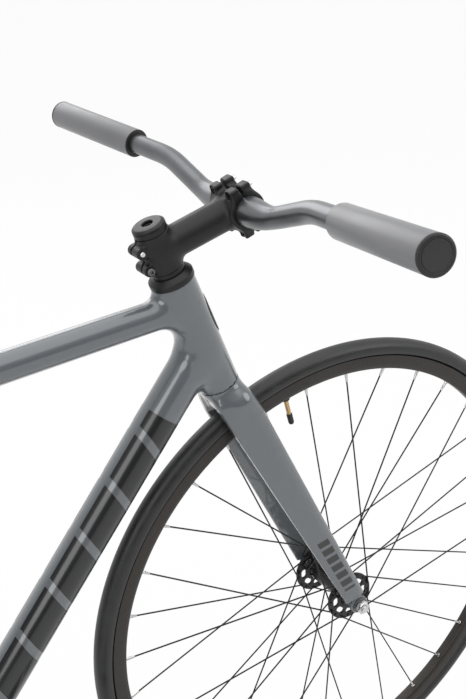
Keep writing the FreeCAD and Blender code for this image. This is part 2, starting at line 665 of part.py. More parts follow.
def blade_shape():
    # straight runs: out of the crown, past the tyre and down to the axle
    fork_length = size("fork_length")
    tip_side = size("front_spacing") / 2 + size("fork_end_thickness") / 2
    chord = size("blade_chord")
    width = size("blade_thickness")
    shoulder = fork_length - size("crown_height") * 1.8
    sections = [
        blade_section(fork_length - size("crown_height") * 0.4, size("blade_spread") * 0.72,
                      chord * 0.92, width),
        blade_section(shoulder, size("blade_spread"), chord, width),
        blade_section(fork_length * 0.06, tip_side, size("blade_tip_chord"), size("blade_tip_thickness")),
    ]
    blade = Part.makeLoft(sections, True, True)
    half = size("fork_end_thickness") / 2
    base = front_axle_point + right * (tip_side + half)
    depth = left * 2 * half
    plate = Part.makeCylinder(size("fork_end_radius"), 2 * half, base, left)
    tongue_half = size("fork_end_radius") * 0.9
    tongue_top = base + steer_up * fork_length * 0.085 - steer_ahead * size("fork_offset") * 0.085
    across = steer_ahead * tongue_half
    tongue = Part.Face(Part.makePolygon(
        [base + across, base - across, tongue_top - across, tongue_top + across, base + across])).extrude(depth)
    slot_half = size("front_axle_radius") + size("running_gap")
    slot_across = steer_ahead * slot_half
    slot_end = base - steer_up * 2 * size("fork_end_radius")
    slot = Part.Face(Part.makePolygon(
        [base + slot_across, base - slot_across, slot_end - slot_across, slot_end + slot_across,
         base + slot_across])).extrude(depth)
    slot_round = Part.makeCylinder(slot_half, 2 * half, base, left)
    return blade.fuse([plate, tongue]).cut([slot, slot_round])


def crown_shape():
    # round under the head tube, wide where the blades leave it
    top = Part.Ellipse(Vector(), size("head_tube_radius"), size("head_tube_radius") - size("fit_gap"))
    foot = Part.Ellipse(Vector(), size("crown_half_width"), size("blade_chord") / 2)
    wires = []
    for section, height in ((top, size("fork_length")), (foot, size("fork_length") - size("crown_height"))):
        edge = section.toShape()
        ahead = size("fork_offset") * (1 - height / size("fork_length"))
        edge.Placement = placed(steer_point(height, ahead), steer_up, left)
        wires.append(Part.Wire([edge]))
    crown = Part.makeLoft(wires, True, True)
    race = Part.makeCylinder(size("headset_bearing_bore") - size("running_gap"),
                             size("crown_gap") + size("headset_bearing_depth"),
                             steer_point(size("fork_length")), steer_up)
    return crown, race


def fork_shape():
    blade = blade_shape()
    other = blade.mirror(Vector(), left)
    crown, race = crown_shape()
    hole_height = size("fork_length") - size("crown_height") * 0.5
    reach = 2 * size("blade_chord")
    hole = Part.makeCylinder(size("brake_hole_radius"), 2 * reach, steer_point(hole_height, -reach), steer_ahead)
    seat = Part.makeCylinder(size("steerer_radius") + size("fit_gap"), size("fork_length"),
                             steer_point(size("fork_length")), steer_up)
    return crown.fuse([blade, other, race]).cut([hole, seat])


node(feature("fork", fork_shape()), "fork")

# Stem: steerer clamp with a slit and two lugs, extension, and the rear half of the bar clamp
bar_point = steer_point(stem_middle - size("stem_drop"), size("stem_length"))
half_clamp = size("bar_clamp_width") / 2


def stem_lug_point(offset):
    return steer_point(stem_middle + offset, -size("stem_clamp_radius") - size("stem_lug_radius") * 0.45)


def ear_boxes(front):
    # bolt ears above and below the bar, on the stem side or the faceplate side of the gap
    boxes = []
    depth = size("bar_ear_depth")
    height = size("bar_bolt_height") + size("clamp_bolt_head") + size("bar_ear_margin")
    start = size("bar_clamp_gap") / 2 if front else -size("bar_clamp_gap") / 2 - depth
    for side in (1, -1):
        for level in (1, -1):
            aside = left * (side * size("bar_ear_spread") - size("bar_ear_width") / 2)
            corner = bar_point + steer_ahead * start + aside
            ahead = corner + steer_ahead * depth
            width = left * size("bar_ear_width")
            foot = Part.Face(Part.makePolygon([corner, ahead, ahead + width, corner + width, corner]))
            boxes.append(foot.extrude(steer_up * level * height))
    return boxes


def bar_clamp_half(front):
    # half of a thick ring round the bar, cut back from the middle plane by half the gap
    outer = size("bar_clamp_radius")
    outside = Part.makeCylinder(outer, 2 * half_clamp, bar_point + right * half_clamp, left)
    solid = outside.fuse(ear_boxes(front))
    reach = 4 * size("bar_clamp_radius")
    direction = -1 if front else 1
    start = bar_point - steer_ahead * direction * size("bar_clamp_gap") / 2
    start = start + right * reach - steer_up * reach
    block = Part.Face(Part.makePolygon([
        start, start + steer_up * 2 * reach, start + steer_up * 2 * reach + left * 2 * reach,
        start + left * 2 * reach, start])).extrude(steer_ahead * direction * reach)
    return solid.cut(block)


def bar_bore_shape():
    return Part.makeCylinder(size("bar_clamp_section") + size("fit_gap"), 4 * half_clamp,
                             bar_point + right * 2 * half_clamp, left)


def stem_shape():
    foot = steer_point(stem_foot)
    start = steer_point(stem_middle)
    run = bar_point - start
    clamp = Part.makeCylinder(size("stem_clamp_radius"), size("stem_height"), foot, steer_up)
    extension = Part.makeCylinder(size("stem_tube_radius"), run.Length, start, run)
    lugs = []
    lug_width = size("stem_lug_width")
    for share in (0.24, -0.24):
        lug_start = stem_lug_point(size("stem_height") * share) + right * lug_width / 2
        lugs.append(Part.makeCylinder(size("stem_lug_radius"), lug_width, lug_start, left))
    solid = clamp.fuse([extension] + lugs).fuse(bar_clamp_half(False)).removeSplitter()
    hole_radius = size("steerer_radius") + size("fit_gap")
    steerer_hole = Part.makeCylinder(hole_radius, size("stem_height"), foot, steer_up)
    slit = Part.makeBox(3 * size("stem_clamp_radius"), size("stem_slit"), 2 * size("stem_height"))
    slit.Placement = placed(steer_point(stem_foot - size("stem_height") / 2) + left * size("stem_slit") / 2,
                            steer_up, steer_ahead * -1)
    beyond = Part.makeCylinder(2 * size("bar_clamp_radius"), 3 * size("bar_clamp_radius"),
                               bar_point - steer_ahead * size("bar_clamp_gap") / 2, steer_ahead)
    return solid.cut([steerer_hole, slit, beyond, bar_bore_shape()])


def faceplate_shape():
    window = Part.makeBox(half_clamp * 0.9, size("bar_clamp_radius") * 1.1, 3 * size("bar_clamp_radius"))
    corner = bar_point - left * half_clamp * 0.45 - steer_up * size("bar_clamp_radius") * 0.55
    window.Placement = placed(corner, steer_ahead, left)
    return bar_clamp_half(True).cut([bar_bore_shape(), window])


node(feature("stem", stem_shape()), "stem")
node(feature("stem_faceplate", faceplate_shape()), "stem_faceplate")


node(turned("top_cap", [
    ("clamp_bolt_radius + fit_gap", "fit_gap"),
    ("top_cap_radius", "fit_gap"),
    ("top_cap_radius", "top_cap_height - top_cap_slope"),
    ("top_cap_radius - top_cap_bevel", "top_cap_height"),
    ("recess_radius", "top_cap_height"),
    ("recess_radius", "top_cap_height - top_cap_recess"),
    ("clamp_bolt_radius + fit_gap", "top_cap_height - top_cap_recess"),
], steer_place(stem_top)), "top_cap")


# Handlebar: thick middle, tapers, an upward bend and the straight ends that carry the grips
def bar_spot(reach, rise, ahead):
    return bar_point + right * reach + vertical * rise + forward * ahead


bar_bend = bar_spot(size("bar_bend_reach"), size("bar_bend_rise"), -size("bar_bend_back"))
bar_end = bar_spot(size("bar_half_width"), size("bar_end_rise"), -size("bar_end_back"))
grip_axis = (bar_end - bar_bend).normalize()


def rounded_path(points, radius):
    # straight runs joined by tangent arcs
    edges = []
    start = points[0]
    for before, corner, after in zip(points, points[1:], points[2:]):
        into = (corner - before).normalize()
        out = (after - corner).normalize()
        turn = math.acos(max(-1, min(1, into.dot(out))))
        setback = radius * math.tan(turn / 2)
        first = corner - into * setback
        last = corner + out * setback
        middle = corner + (out - into).normalize() * radius * (1 / math.cos(turn / 2) - 1)
        edges.append(Part.LineSegment(start, first).toShape())
        edges.append(Part.Arc(first, middle, last).toShape())
        start = last
    edges.append(Part.LineSegment(start, points[-1]).toShape())
    return Part.Wire(edges)


def swept(path, radius):
    # round rod: a cylinder on each straight run and part of a ring on each bend
    pieces = []
    for edge in path.Edges:
        start = edge.valueAt(edge.FirstParameter)
        way = edge.tangentAt(edge.FirstParameter)
        if edge.Curve.TypeId == "Part::GeomLine":
            pieces.append(Part.makeCylinder(radius, edge.Length, start, way))
        else:
            disc = Part.Face(Part.Wire([Part.makeCircle(radius, start, way)]))
            turn = math.degrees(edge.Length / edge.Curve.Radius)
            pieces.append(disc.revolve(edge.Curve.Center, edge.Curve.Axis, turn))
    return pieces[0].fuse(pieces[1:])


def bar_shape():
    mid = size("bar_centre_half")
    taper = size("bar_taper_half")
    thick = size("bar_clamp_section")
    inner_bend = bar_spot(taper + size("bar_straight"), 0, 0)
    corners = [bar_spot(taper, 0, 0), inner_bend, bar_bend, bar_end]
    path = rounded_path(corners, size("bar_bend_radius"))
    cone = Part.makeCone(thick, size("bar_section"), taper - mid, bar_spot(mid, 0, 0), right)
    middle = Part.makeCylinder(thick, 2 * mid, bar_spot(mid, 0, 0), left)
    half = cone.fuse(swept(path, size("bar_section")))
    return middle.fuse([half, half.mirror(bar_point, left)])


node(feature("handlebar", bar_shape()), "handlebar")

grip_start = bar_end - grip_axis * size("grip_length")
grip_place = placed(grip_start, grip_axis, forward)
grip_bore = "bar_section + fit_gap"
grip = ring("right_grip", grip_bore, "grip_radius", "grip_collar_length", "grip_length", grip_place)
node(both_sides("grips", grip), "grips")
collar = ring("right_collar", grip_bore, "grip_collar_radius", "0", "grip_collar_length", grip_place)
node(both_sides("grip_collars", collar), "grip_collars")
cap_end = "grip_length + grip_cap_thickness"
end_cap = ring("right_end_cap", "0", "grip_radius", "grip_length", cap_end, grip_place)
node(both_sides("grip_end_caps", end_cap), "grip_end_caps")


# Wheels: each is built round its own axle, local Z to the left and local X towards the valve
def spoke_ends(flange_spread):
    # hub end and rim end of each spoke in the wheel's own axes; they lie on both faces of a flange,
    # those outside it just clearing its edge on their way to the rim
    per_side = int(size("spoke_count") / 2)
    step = 360 / per_side
    lean = size("spoke_crosses") * step
    aside = size("hub_flange_half") + size("spoke_radius") + size("fit_gap")
    reach = polar(size("rim_inner_radius"), lean) - polar(size("hub_hole_radius"), 0)
    slope = (flange_spread + aside) / reach.Length
    edge = size("hub_flange_radius")
    inward = size("hub_hole_radius") * reach.x / reach.Length
    edge_run = math.sqrt(inward ** 2 + edge ** 2 - size("hub_hole_radius") ** 2) - inward
    lift = slope * (edge_run + 2 * size("spoke_radius"))
    for side in (-1, 1):
        for index in range(per_side):
            hub_angle = (index + 0.25 + (0.5 if side > 0 else 0)) * step
            outward = 1 if index % 2 else -1
            rim_angle = hub_angle + lean * outward
            height = side * flange_spread + (aside + (lift if outward == side else 0)) * outward
            hub = polar(size("hub_hole_radius"), hub_angle, height)
            rim = polar(size("rim_inner_radius") - size("nipple_gap"), rim_angle)
            yield hub, rim


def spoke_shape(hub, rim):
    along = (rim - hub).normalize()
    return prism(hub, rim - along * size("nipple_length"), size("spoke_radius"), 6)


def nipple_shape(hub, rim):
    along = (rim - hub).normalize()
    return prism(rim - along * size("nipple_length"), rim, size("nipple_width") / math.sqrt(2), 4)


opening_corners = [(1, 0.45), (0.6, 1), (-0.6, 1), (-1, 0.45)]
opening_corners += [(-1, -0.45), (-0.6, -1), (0.6, -1), (1, -0.45)]


def flange_cutters(flange_spread):
    # rounded openings through both flanges
    cutters = []
    count = int(size("cutout_count"))
    length = size("cutout_half_length")
    width = size("cutout_half_width")
    reach = flange_spread + 2 * size("hub_flange_half")
    for index in range(count):
        outward = polar(1, 360 * index / count)
        around = Vector(-outward.y, outward.x, 0)
        centre = outward * size("cutout_ring") + Vector(0, 0, -reach)
        corners = []
        for across, up in opening_corners:
            corners.append(centre + around * across * length + outward * up * width)
        wire = Part.makePolygon(corners + corners[:1])
        cutters.append(Part.Face(wire).extrude(Vector(0, 0, 2 * reach)))
    return cutters


def hub_outline(bore, left_end, right_end, spread, right_boss):
    # radius and height of the hub's corners; right_boss is the stepped right end
    flange_in = "%s - hub_flange_half" % spread
    flange_out = "%s + hub_flange_half" % spread
    corners = [(bore, "-%s" % right_end)]
    corners += right_boss
    corners += [
        ("hub_flange_radius", "-(%s)" % flange_out),
        ("hub_flange_radius", "-(%s)" % flange_in),
        ("hub_body_radius", "-(%s)" % flange_in),
        ("hub_body_radius", flange_in),
        ("hub_flange_radius", flange_in),
        ("hub_flange_radius", flange_out),
        ("hub_boss_radius", flange_out),
        ("hub_boss_radius", left_end),
        (bore, left_end),
    ]
    return corners


def valve_shape(axle_point, way):
    # stem through the rim, collar under it and cap on its end
    rim_face = size("rim_inner_radius") - size("fit_gap")
    foot = rim_face - size("valve_reach")
    cap_start = foot + size("valve_cap_length")

    def bar(low, high, radius):
        return prism(axle_point + way * low, axle_point + way * high, radius, 8)

    stem = bar(cap_start, size("rim_seat_radius"), size("valve_radius"))
    collar_top = math.sqrt(rim_face ** 2 - size("valve_nut_radius") ** 2)
    collar = bar(collar_top - size("valve_nut_height"), collar_top, size("valve_nut_radius"))
    return stem.fuse([collar, bar(foot, cap_start, size("valve_cap_radius"))])


def wheel(end, axle_point, valve_angle, spread, left_end, right_end, right_boss):
    angle = math.radians(size(valve_angle))
    valve_way = Vector(math.cos(angle), 0, math.sin(angle))
    place = placed(axle_point, left, valve_way)
    torus = document.addObject("Part::Torus", end + "_tyre_round")
    bind(torus, Radius1="tyre_centre_radius", Radius2="tyre_section_radius")
    torus.Placement = place
    rim_room = ring(end + "_rim_room", "rim_inner_radius", "rim_outer_radius + fit_gap",
                    "-2 * tyre_section_radius", "2 * tyre_section_radius", place)
    bead = "rim_half_width - rim_flange_wall - fit_gap"
    beads = ring(end + "_beads", "rim_seat_radius + fit_gap", "rim_outer_radius + bead_overlap",
                 "-(%s)" % bead, bead, place)
    crest = cut(end + "_crest", torus, rim_room)
    node(fused(end + "_tyre", crest, beads), end + "_tyre")

    rim_body = turned(end + "_rim_body", [
        ("rim_inner_radius", "-rim_inner_half"),
        ("rim_outer_radius", "-rim_half_width"),
        ("rim_outer_radius", "rim_flange_wall - rim_half_width"),
        ("rim_seat_radius", "rim_flange_wall - rim_half_width"),
        ("rim_seat_radius", "rim_half_width - rim_flange_wall"),
        ("rim_outer_radius", "rim_half_width - rim_flange_wall"),
        ("rim_outer_radius", "rim_half_width"),
        ("rim_inner_radius", "rim_inner_half"),
    ], place)
    valve_place = placed(axle_point, valve_way, left)
    valve_hole = cylinder(end + "_valve_hole", "valve_radius + running_gap", "tyre_centre_radius", valve_place)
    node(cut(end + "_rim", rim_body, valve_hole), end + "_rim")

    node(feature(end + "_valve", valve_shape(axle_point, valve_way)), end + "_valve")

    ends = list(spoke_ends(size(spread)))
    spokes = feature(end + "_spokes", Part.makeCompound([spoke_shape(*points) for points in ends]))
    spokes.Placement = place
    node(spokes, end + "_spokes")
    nipples = feature(end + "_nipples", Part.makeCompound([nipple_shape(hub, rim) for hub, rim in ends]))
    nipples.Placement = place
    node(nipples, end + "_nipples")

    bore = end + "_axle_radius + running_gap"
    hub_body = turned(end + "_hub_body", hub_outline(bore, left_end, right_end, spread, right_boss), place)
    cutters = feature(end + "_flange_cutters", Part.makeCompound(flange_cutters(size(spread))))
    cutters.Placement = place
    node(cut(end + "_hub_shell", hub_body, cutters), end + "_hub_shell")


def axle_set(end, axle_point, spacing, thickness, left_end, right_end):
    # fixed axle with shoulders inside the fork or track ends and flanged nuts outside them
    place = across_place(axle_point)
    radius = end + "_axle_radius"
    half = "%s / 2 + %s + washer_height + nut_height + %s_axle_end" % (spacing, thickness, end)
    step = half + " - %s_axle_tip" % end
    node(turned(end + "_axle", [
        ("0", "-(%s)" % half),
        (radius + " - axle_tip_step", "-(%s)" % half),
        (radius + " - axle_tip_step", "-(%s)" % step),
        (radius, "-(%s)" % step),
        (radius, "-%s / 2" % spacing),
        ("locknut_radius", "-%s / 2" % spacing),
        ("locknut_radius", "-%s - side_gap" % right_end),
        (radius, "-%s - side_gap" % right_end),
        (radius, "%s + side_gap" % left_end),
        ("locknut_radius", "%s + side_gap" % left_end),
        ("locknut_radius", "%s / 2" % spacing),
        (radius, "%s / 2" % spacing),
        (radius, step),
        (radius + " - axle_tip_step", step),
        (radius + " - axle_tip_step", half),
        ("0", half),
    ], place), end + "_axle")
    seat = size(spacing) / 2 + size(thickness)
    start = axle_point + right * seat
    washer_end = start + right * size("washer_height")
    nut_end = washer_end + right * size("nut_height")
    washer = Part.makeCylinder(size("washer_radius"), size("washer_height"), start, right)
    nut = prism(washer_end, nut_end, hexagon_radius(size("nut_flats")), 6)
    bore = Part.makeCylinder(size(radius) + size("fit_gap"), size(spacing), start, right)
    nut_piece = feature(end + "_right_nut", washer.fuse(nut).cut(bore))
    node(both_sides(end + "_axle_nuts", nut_piece), end + "_axle_nuts")


plain_boss = [
    ("hub_boss_radius", "-front_hub_half"),
    ("hub_boss_radius", "-(front_flange_spread + hub_flange_half)"),
]
cog_boss = [
    ("cog_bore - fit_gap", "-rear_hub_right"),
    ("cog_bore - fit_gap", "-(chain_line - tooth_thickness / 2)"),
    ("cog_shoulder_radius", "-(chain_line - tooth_thickness / 2)"),
    ("cog_shoulder_radius", "-(rear_flange_spread + hub_flange_half)"),
]
wheel("front", front_axle_point, "front_valve_angle", "front_flange_spread", "front_hub_half", "front_hub_half",
      plain_boss)
wheel("rear", rear_axle_point, "rear_valve_angle", "rear_flange_spread", "rear_hub_left", "rear_hub_right",
      cog_boss)
axle_set("front", front_axle_point, "front_spacing", "fork_end_thickness", "front_hub_half", "front_hub_half")
axle_set("rear", rear_axle_point, "rear_spacing", "track_end_thickness", "rear_hub_left", "rear_hub_right")

# Chain drive: both sprockets have a tooth pointing straight away from the other one
drive_ahead = (bracket_point - rear_axle_point).normalize()
drive_up = Vector(-drive_ahead.z, 0, drive_ahead.x)
chain_middle = right * size("chain_line")


def sprocket_wire(teeth, pitch_radius):
    # roller seats of three corners each, with a straight flank to the tooth tip on both sides
    corners = []
    seat = size("tooth_seat_radius")
    tip_radius = pitch_radius + size("tooth_tip_height")
    tip_turn = math.degrees(size("tooth_tip_half") / tip_radius)
    for index in range(teeth):
        tooth = 360 * index / teeth
        corners.append(polar(tip_radius, tooth - tip_turn))
        corners.append(polar(tip_radius, tooth + tip_turn))
        roller = tooth + 180 / teeth
        centre = polar(pitch_radius, roller)
        for lean in (-50, 0, 50):
            corners.append(centre - polar(seat, roller - lean))
    return Part.makePolygon(corners + corners[:1])


def sprocket_shape(teeth, pitch_radius, opening):
    half = size("tooth_thickness") / 2
    outside = Part.Face(sprocket_wire(teeth, pitch_radius)).extrude(Vector(0, 0, 2 * half))
    outside.translate(Vector(0, 0, -half))
    bore = Part.makeCylinder(opening, 4 * half, Vector(0, 0, -2 * half))
    return outside.cut(bore)


chainring_place = placed(bracket_point + chain_middle, left, drive_ahead)
cog_place = placed(rear_axle_point + chain_middle, left, drive_ahead * -1)
cog = feature("drive_cog", sprocket_shape(int(size("cog_teeth")), cog_pitch_radius, size("cog_bore")))
cog.Placement = cog_place
node(cog, "drive_cog")
node(ring("cog_lockring", "cog_bore", "lockring_radius", "-(tooth_thickness / 2 + lockring_height)",
          "-(tooth_thickness / 2 + fit_gap)", cog_place), "cog_lockring")


def chain_pins():
    # pins round the chainring, along the lower run, round the cog and back along the upper run
    ring_count = int(size("ring_wrap"))
    cog_count = int(size("cog_wrap"))
    runs = int(size("chain_run"))

    def spot(centre, radius, degrees, way):
        angle = math.radians(degrees)
        return centre + drive_ahead * way * radius * math.cos(angle) + drive_up * radius * math.sin(angle)

    ring_step = 360 / size("ring_teeth")
    cog_step = 360 / size("cog_teeth")
    pins = [spot(bracket_point, ring_pitch_radius, (ring_count / 2 - k) * ring_step, 1)
            for k in range(ring_count + 1)]
    around = [spot(rear_axle_point, cog_pitch_radius, (k - cog_count / 2) * cog_step, -1)
              for k in range(cog_count + 1)]
    lower = [pins[-1] + (around[0] - pins[-1]) * (k / runs) for k in range(1, runs)]
    upper = [around[-1] + (pins[0] - around[-1]) * (k / runs) for k in range(1, runs)]
    return [pin + chain_middle for pin in pins + lower + around + upper]


def plate_face(start, end, level):
    # six-cornered link plate
    along = (end - start).normalize()
    up = along.cross(left) * size("plate_half_height")
    reach = along * size("plate_half_height")
    corners = [start - reach, start - up + reach * 0.3, end - up - reach * 0.3, end + reach,
               end + up - reach * 0.3, start + up + reach * 0.3]
    corners = [corner + left * level for corner in corners]
    return Part.Face(Part.makePolygon(corners + corners[:1]))


def link_shapes(start, end, outer):
    # two plates; the inner links also hold the rollers between their plates
    level = size("chain_inner_half") + (size("plate_thickness") + 2 * size("running_gap") if outer else 0)
    thick = left * size("plate_thickness")
    pieces = [plate_face(start, end, level).extrude(thick), plate_face(start, end, -level).extrude(thick * -1)]
    if not outer:
        for pin in (start, end):
            pieces.append(prism(pin + right * level, pin + left * level, size("roller_radius"), 6))
    return pieces


pins = chain_pins()
links = []
for index, pin in enumerate(pins):
    links += link_shapes(pin, pins[(index + 1) % len(pins)], index % 2 == 1)
node(feature("chain", Part.makeCompound(links)), "chain")

# Bottom bracket cups and spindle
right_cup = ring("right_cup", "spindle_radius + running_gap", "shell_bore - fit_gap",
                 "-(shell_width / 2 + cup_lip)", "cup_depth - shell_width / 2", shell_place)
node(both_sides("bottom_bracket_cups", right_cup), "bottom_bracket_cups")

crank_angle = math.radians(size("crank_rest_angle"))
crank_way = Vector(math.cos(crank_angle), 0, math.sin(crank_angle))
crank_up = Vector(-math.sin(crank_angle), 0, math.cos(crank_angle))


def square_bar(width, start, end):
    half = width / 2
    corners = [crank_way * a * half + crank_up * b * half for a, b in ((1, 1), (-1, 1), (-1, -1), (1, -1))]
    corners = [bracket_point + left * start + corner for corner in corners]
    return Part.Face(Part.makePolygon(corners + corners[:1])).extrude(left * (end - start))


def spindle_shape():
    inner = size("boss_inner") - size("side_gap")
    barrel = Part.makeCylinder(size("spindle_radius"), 2 * inner, bracket_point + right * inner, left)
    ends = [square_bar(size("spindle_square"), side * inner, side * size("spindle_half")) for side in (1, -1)]
    return barrel.fuse(ends)


node(feature("bottom_bracket_spindle", spindle_shape()), "bottom_bracket_spindle")


def arm_shape(way):
    # crank arm on the right: boss, tapering arm set outwards at its end, and the pedal eye
    inner = size("boss_inner")
    outer = size("boss_outer")
    thickness = size("crank_thickness")
    eye_point = bracket_point + way * size("crank_length")
    eye_outer = outer + size("crank_flare")
    boss = Part.makeCylinder(size("boss_radius"), outer - inner, bracket_point + right * inner, right)
    eye = Part.makeCylinder(size("eye_radius"), thickness, eye_point + right * (eye_outer - thickness), right)
    up = Vector(-way.z, 0, way.x)
    wires = []
    for share, side, width in ((0.0, outer, size("crank_width")), (1.0, eye_outer, size("crank_end_width"))):
        centre = bracket_point + way * size("crank_length") * share
        half = up * (width / 2)
        near = right * (side - thickness)
        far = right * side
        wires.append(Part.makePolygon([centre + near + half, centre + far + half * 0.7, centre + far - half * 0.7,
                                       centre + near - half, centre + near + half]))
    arm = Part.makeLoft(wires, True, True)
    eye_hole = Part.makeCylinder(size("pedal_axle_radius") + size("fit_gap"), 4 * outer, eye_point, right)
    return boss.fuse([arm, eye]), [eye_hole, square_bar(size("spindle_square") + 2 * size("fit_gap"),
                                                       -2 * outer, 2 * outer)]


def spider_shape():
    # five arms against the outer face of the chainring
    seat = size("chain_line") + size("tooth_thickness") / 2
    depth = right * size("spider_thickness")
    half = size("spider_width") / 2
    pieces = []
    for index in range(int(size("spider_arms"))):
        angle = crank_angle + 2 * math.pi * (index + 0.5) / size("spider_arms")
        out = Vector(math.cos(angle), 0, math.sin(angle))
        across = Vector(-out.z, 0, out.x) * half
        start = bracket_point + right * seat
        end = start + out * size("ring_bolt_circle")
        wire = Part.makePolygon([start + across * 1.3, start - across * 1.3, end - across, end + across,
                                 start + across * 1.3])
        pieces.append(Part.Face(wire).extrude(depth))
        pieces.append(Part.makeCylinder(half, size("spider_thickness"), end, right))
    return pieces


right_arm, right_holes = arm_shape(crank_way)
right_crank = right_arm.fuse(spider_shape()).removeSplitter().cut(right_holes)
node(feature("crank_right", right_crank), "crank_right")
left_arm, left_holes = arm_shape(crank_way * -1)
node(feature("crank_left", left_arm.removeSplitter().cut(left_holes).mirror(Vector(), left)), "crank_left")

chainring = sprocket_shape(int(size("ring_teeth")), ring_pitch_radius, size("ring_inner_radius"))
chainring.Placement = chainring_place
node(feature("chainring", chainring), "chainring")


# Pedals: axles screwed into the crank eyes, and platform bodies turning on them
eye_face = size("boss_outer") + size("crank_flare")
pedal_axle_length = size("crank_thickness") + size("pedal_start") + size("pedal_width")
right_pedal_point = bracket_point + crank_way * size("crank_length") + right * eye_face
left_pedal_point = bracket_point - crank_way * size("crank_length") + left * eye_face


def pedal_axle_shape(point, out):
    start = point - out * size("crank_thickness")
    return Part.makeCylinder(size("pedal_axle_radius"), pedal_axle_length - size("pedal_axle_inset"), start, out)


axles = [pedal_axle_shape(right_pedal_point, right), pedal_axle_shape(left_pedal_point, left)]
node(feature("pedal_axles", Part.makeCompound(axles)), "pedal_axles")


def pedal_shape(point, out):
    # flat platform with two openings and a barrel on the axle, closed at its outer end
    start = point + out * size("pedal_start")
    half = size("pedal_length") / 2
    thick = size("pedal_thickness") / 2
    bar = size("pedal_bar")
    barrel = size("pedal_barrel_radius")

    def spot(along, reach, level):
        return start + forward * along + out * reach + vertical * level

    def block(outline, low, high):
        corners = [spot(along, reach, low) for along, reach in outline]
        return Part.Face(Part.makePolygon(corners + corners[:1])).extrude(vertical * (high - low))

    wide = size("pedal_width")
    chamfer = bar
    outline = [(-half, chamfer), (-half + chamfer, 0), (half - chamfer, 0), (half, chamfer),
               (half, wide - chamfer), (half - chamfer, wide), (-half + chamfer, wide), (-half, wide - chamfer)]
    body = block(outline, -thick, thick)
    openings = []
    for side in (1, -1):
        inner = side * (barrel + size("window_margin"))
        outer = side * (half - bar)
        window = [(inner, bar), (outer, bar + chamfer / 2), (outer, wide - bar - chamfer / 2), (inner, wide - bar)]
        openings.append(block(window, -2 * thick, 2 * thick))
    sleeve = Part.makeCylinder(barrel, wide, start, out)
    bore_radius = size("pedal_axle_radius") + size("running_gap")
    bore = Part.makeCylinder(bore_radius, wide - size("pedal_end_wall"), start, out)
    return body.cut(openings).fuse(sleeve).cut(bore)


node(feature("pedal_right", pedal_shape(right_pedal_point, right)), "pedal_right")
node(feature("pedal_left", pedal_shape(left_pedal_point, left)), "pedal_left")

# Seatpost: tube with a forged head that holds the saddle clamp in a round seat
post_top = seat_top + seat_up * size("seatpost_show")
post_foot = seat_top - seat_up * size("seatpost_insert")
tilt_point = post_top + vertical * size("tilt_radius") + vertical * size("post_head_height") * 0.5


def post_shape():
    length = (post_top - post_foot).Length
    tube = Part.makeCylinder(size("seatpost_radius"), length, post_foot, seat_up)
    bore_length = length - size("seatpost_plug")
    bore = Part.makeCylinder(size("seatpost_radius") - size("seatpost_wall"), bore_length, post_foot, seat_up)
    half_x = size("post_head_half_length")
    half_y = size("post_head_half_width")
    head = Part.makeBox(2 * half_x, 2 * half_y, size("post_head_height") + size("post_head_lip"))
    head.translate(Vector(post_top.x - half_x, -half_y, post_top.z - size("post_head_height") / 2))
    upright = [edge for edge in head.Edges if abs(edge.tangentAt(edge.FirstParameter).z) > 0.9]
    head = head.makeFillet(size("post_head_round"), upright)
    seat = Part.makeCylinder(size("tilt_radius"), 4 * half_y, tilt_point + right * 2 * half_y, left)
    return tube.cut(bore).fuse(head).cut(seat)


node(feature("seatpost", post_shape()), "seatpost")


# Saddle: clamp plates, two rails, shell and padding
def saddle_clamp_shapes():
    half_x = size("clamp_half_length")
    half_y = size("clamp_half_width")
    rail_level = -size("rail_depth")
    round_seat = Part.makeCylinder(size("tilt_radius") - size("running_gap"), 2 * half_y,
                                   tilt_point + right * half_y, left)
    split = size("clamp_split")
    lower = Part.makeBox(2 * half_x, 2 * half_y, size("tilt_radius") + rail_level - split)
    lower.translate(tilt_point + Vector(-half_x, -half_y, -size("tilt_radius")))
    lower = lower.common(round_seat)
    upper = Part.makeBox(2 * half_x, 2 * half_y, -size("clamp_top") - rail_level - split)
    upper.translate(tilt_point + Vector(-half_x, -half_y, rail_level + split))
    grooves = [Part.makeCylinder(size("rail_radius") + size("fit_gap"), 4 * half_x,
                                 tilt_point + Vector(-2 * half_x, side * size("rail_spread"), rail_level), forward)
               for side in (1, -1)]
    return [lower.cut(grooves), upper.cut(grooves)]


node(feature("saddle_clamp", Part.makeCompound(saddle_clamp_shapes())), "saddle_clamp")

saddle_tail = tilt_point.x - size("saddle_setback")
shell_level = tilt_point.z + size("saddle_rise")


def saddle_half_width(share):
    # from the wide tail at 0 to the nose at 1
    tail = size("saddle_half_width")
    nose = size("saddle_nose_half")
    fade = 0.5 + 0.5 * math.cos(math.pi * min(1, max(0, (share - 0.08) / 0.62)))
    ends = 0.82 if share < 0.05 else 1
    return (nose + (tail - nose) * fade) * ends * (0.72 if share > 0.97 else 1)


def saddle_section(share, low, high, drop, pinch):
    # flat underside, drawn-in flanks and a crowned top
    x = saddle_tail + size("saddle_length") * share
    half = saddle_half_width(share)
    foot = half * pinch
    side_level = low + (high - low) * 0.45
    corner = high - drop
    shoulder = (corner - side_level) * 0.8 + side_level
    a = Vector(x, -foot, low)
    b = Vector(x, -half, side_level)
    c = Vector(x, -half * 0.78, shoulder)
    d = Vector(x, half * 0.78, shoulder)
    e = Vector(x, half, side_level)
    f = Vector(x, foot, low)
    edges = [
        Part.LineSegment(f, a).toShape(),
        Part.LineSegment(a, b).toShape(),
        Part.Arc(b, Vector(x, -half * 0.94, side_level + (shoulder - side_level) * 0.62), c).toShape(),
        Part.Arc(c, Vector(x, 0, high), d).toShape(),
        Part.Arc(d, Vector(x, half * 0.94, side_level + (shoulder - side_level) * 0.62), e).toShape(),
        Part.LineSegment(e, f).toShape(),
    ]
    return Part.Wire(edges)


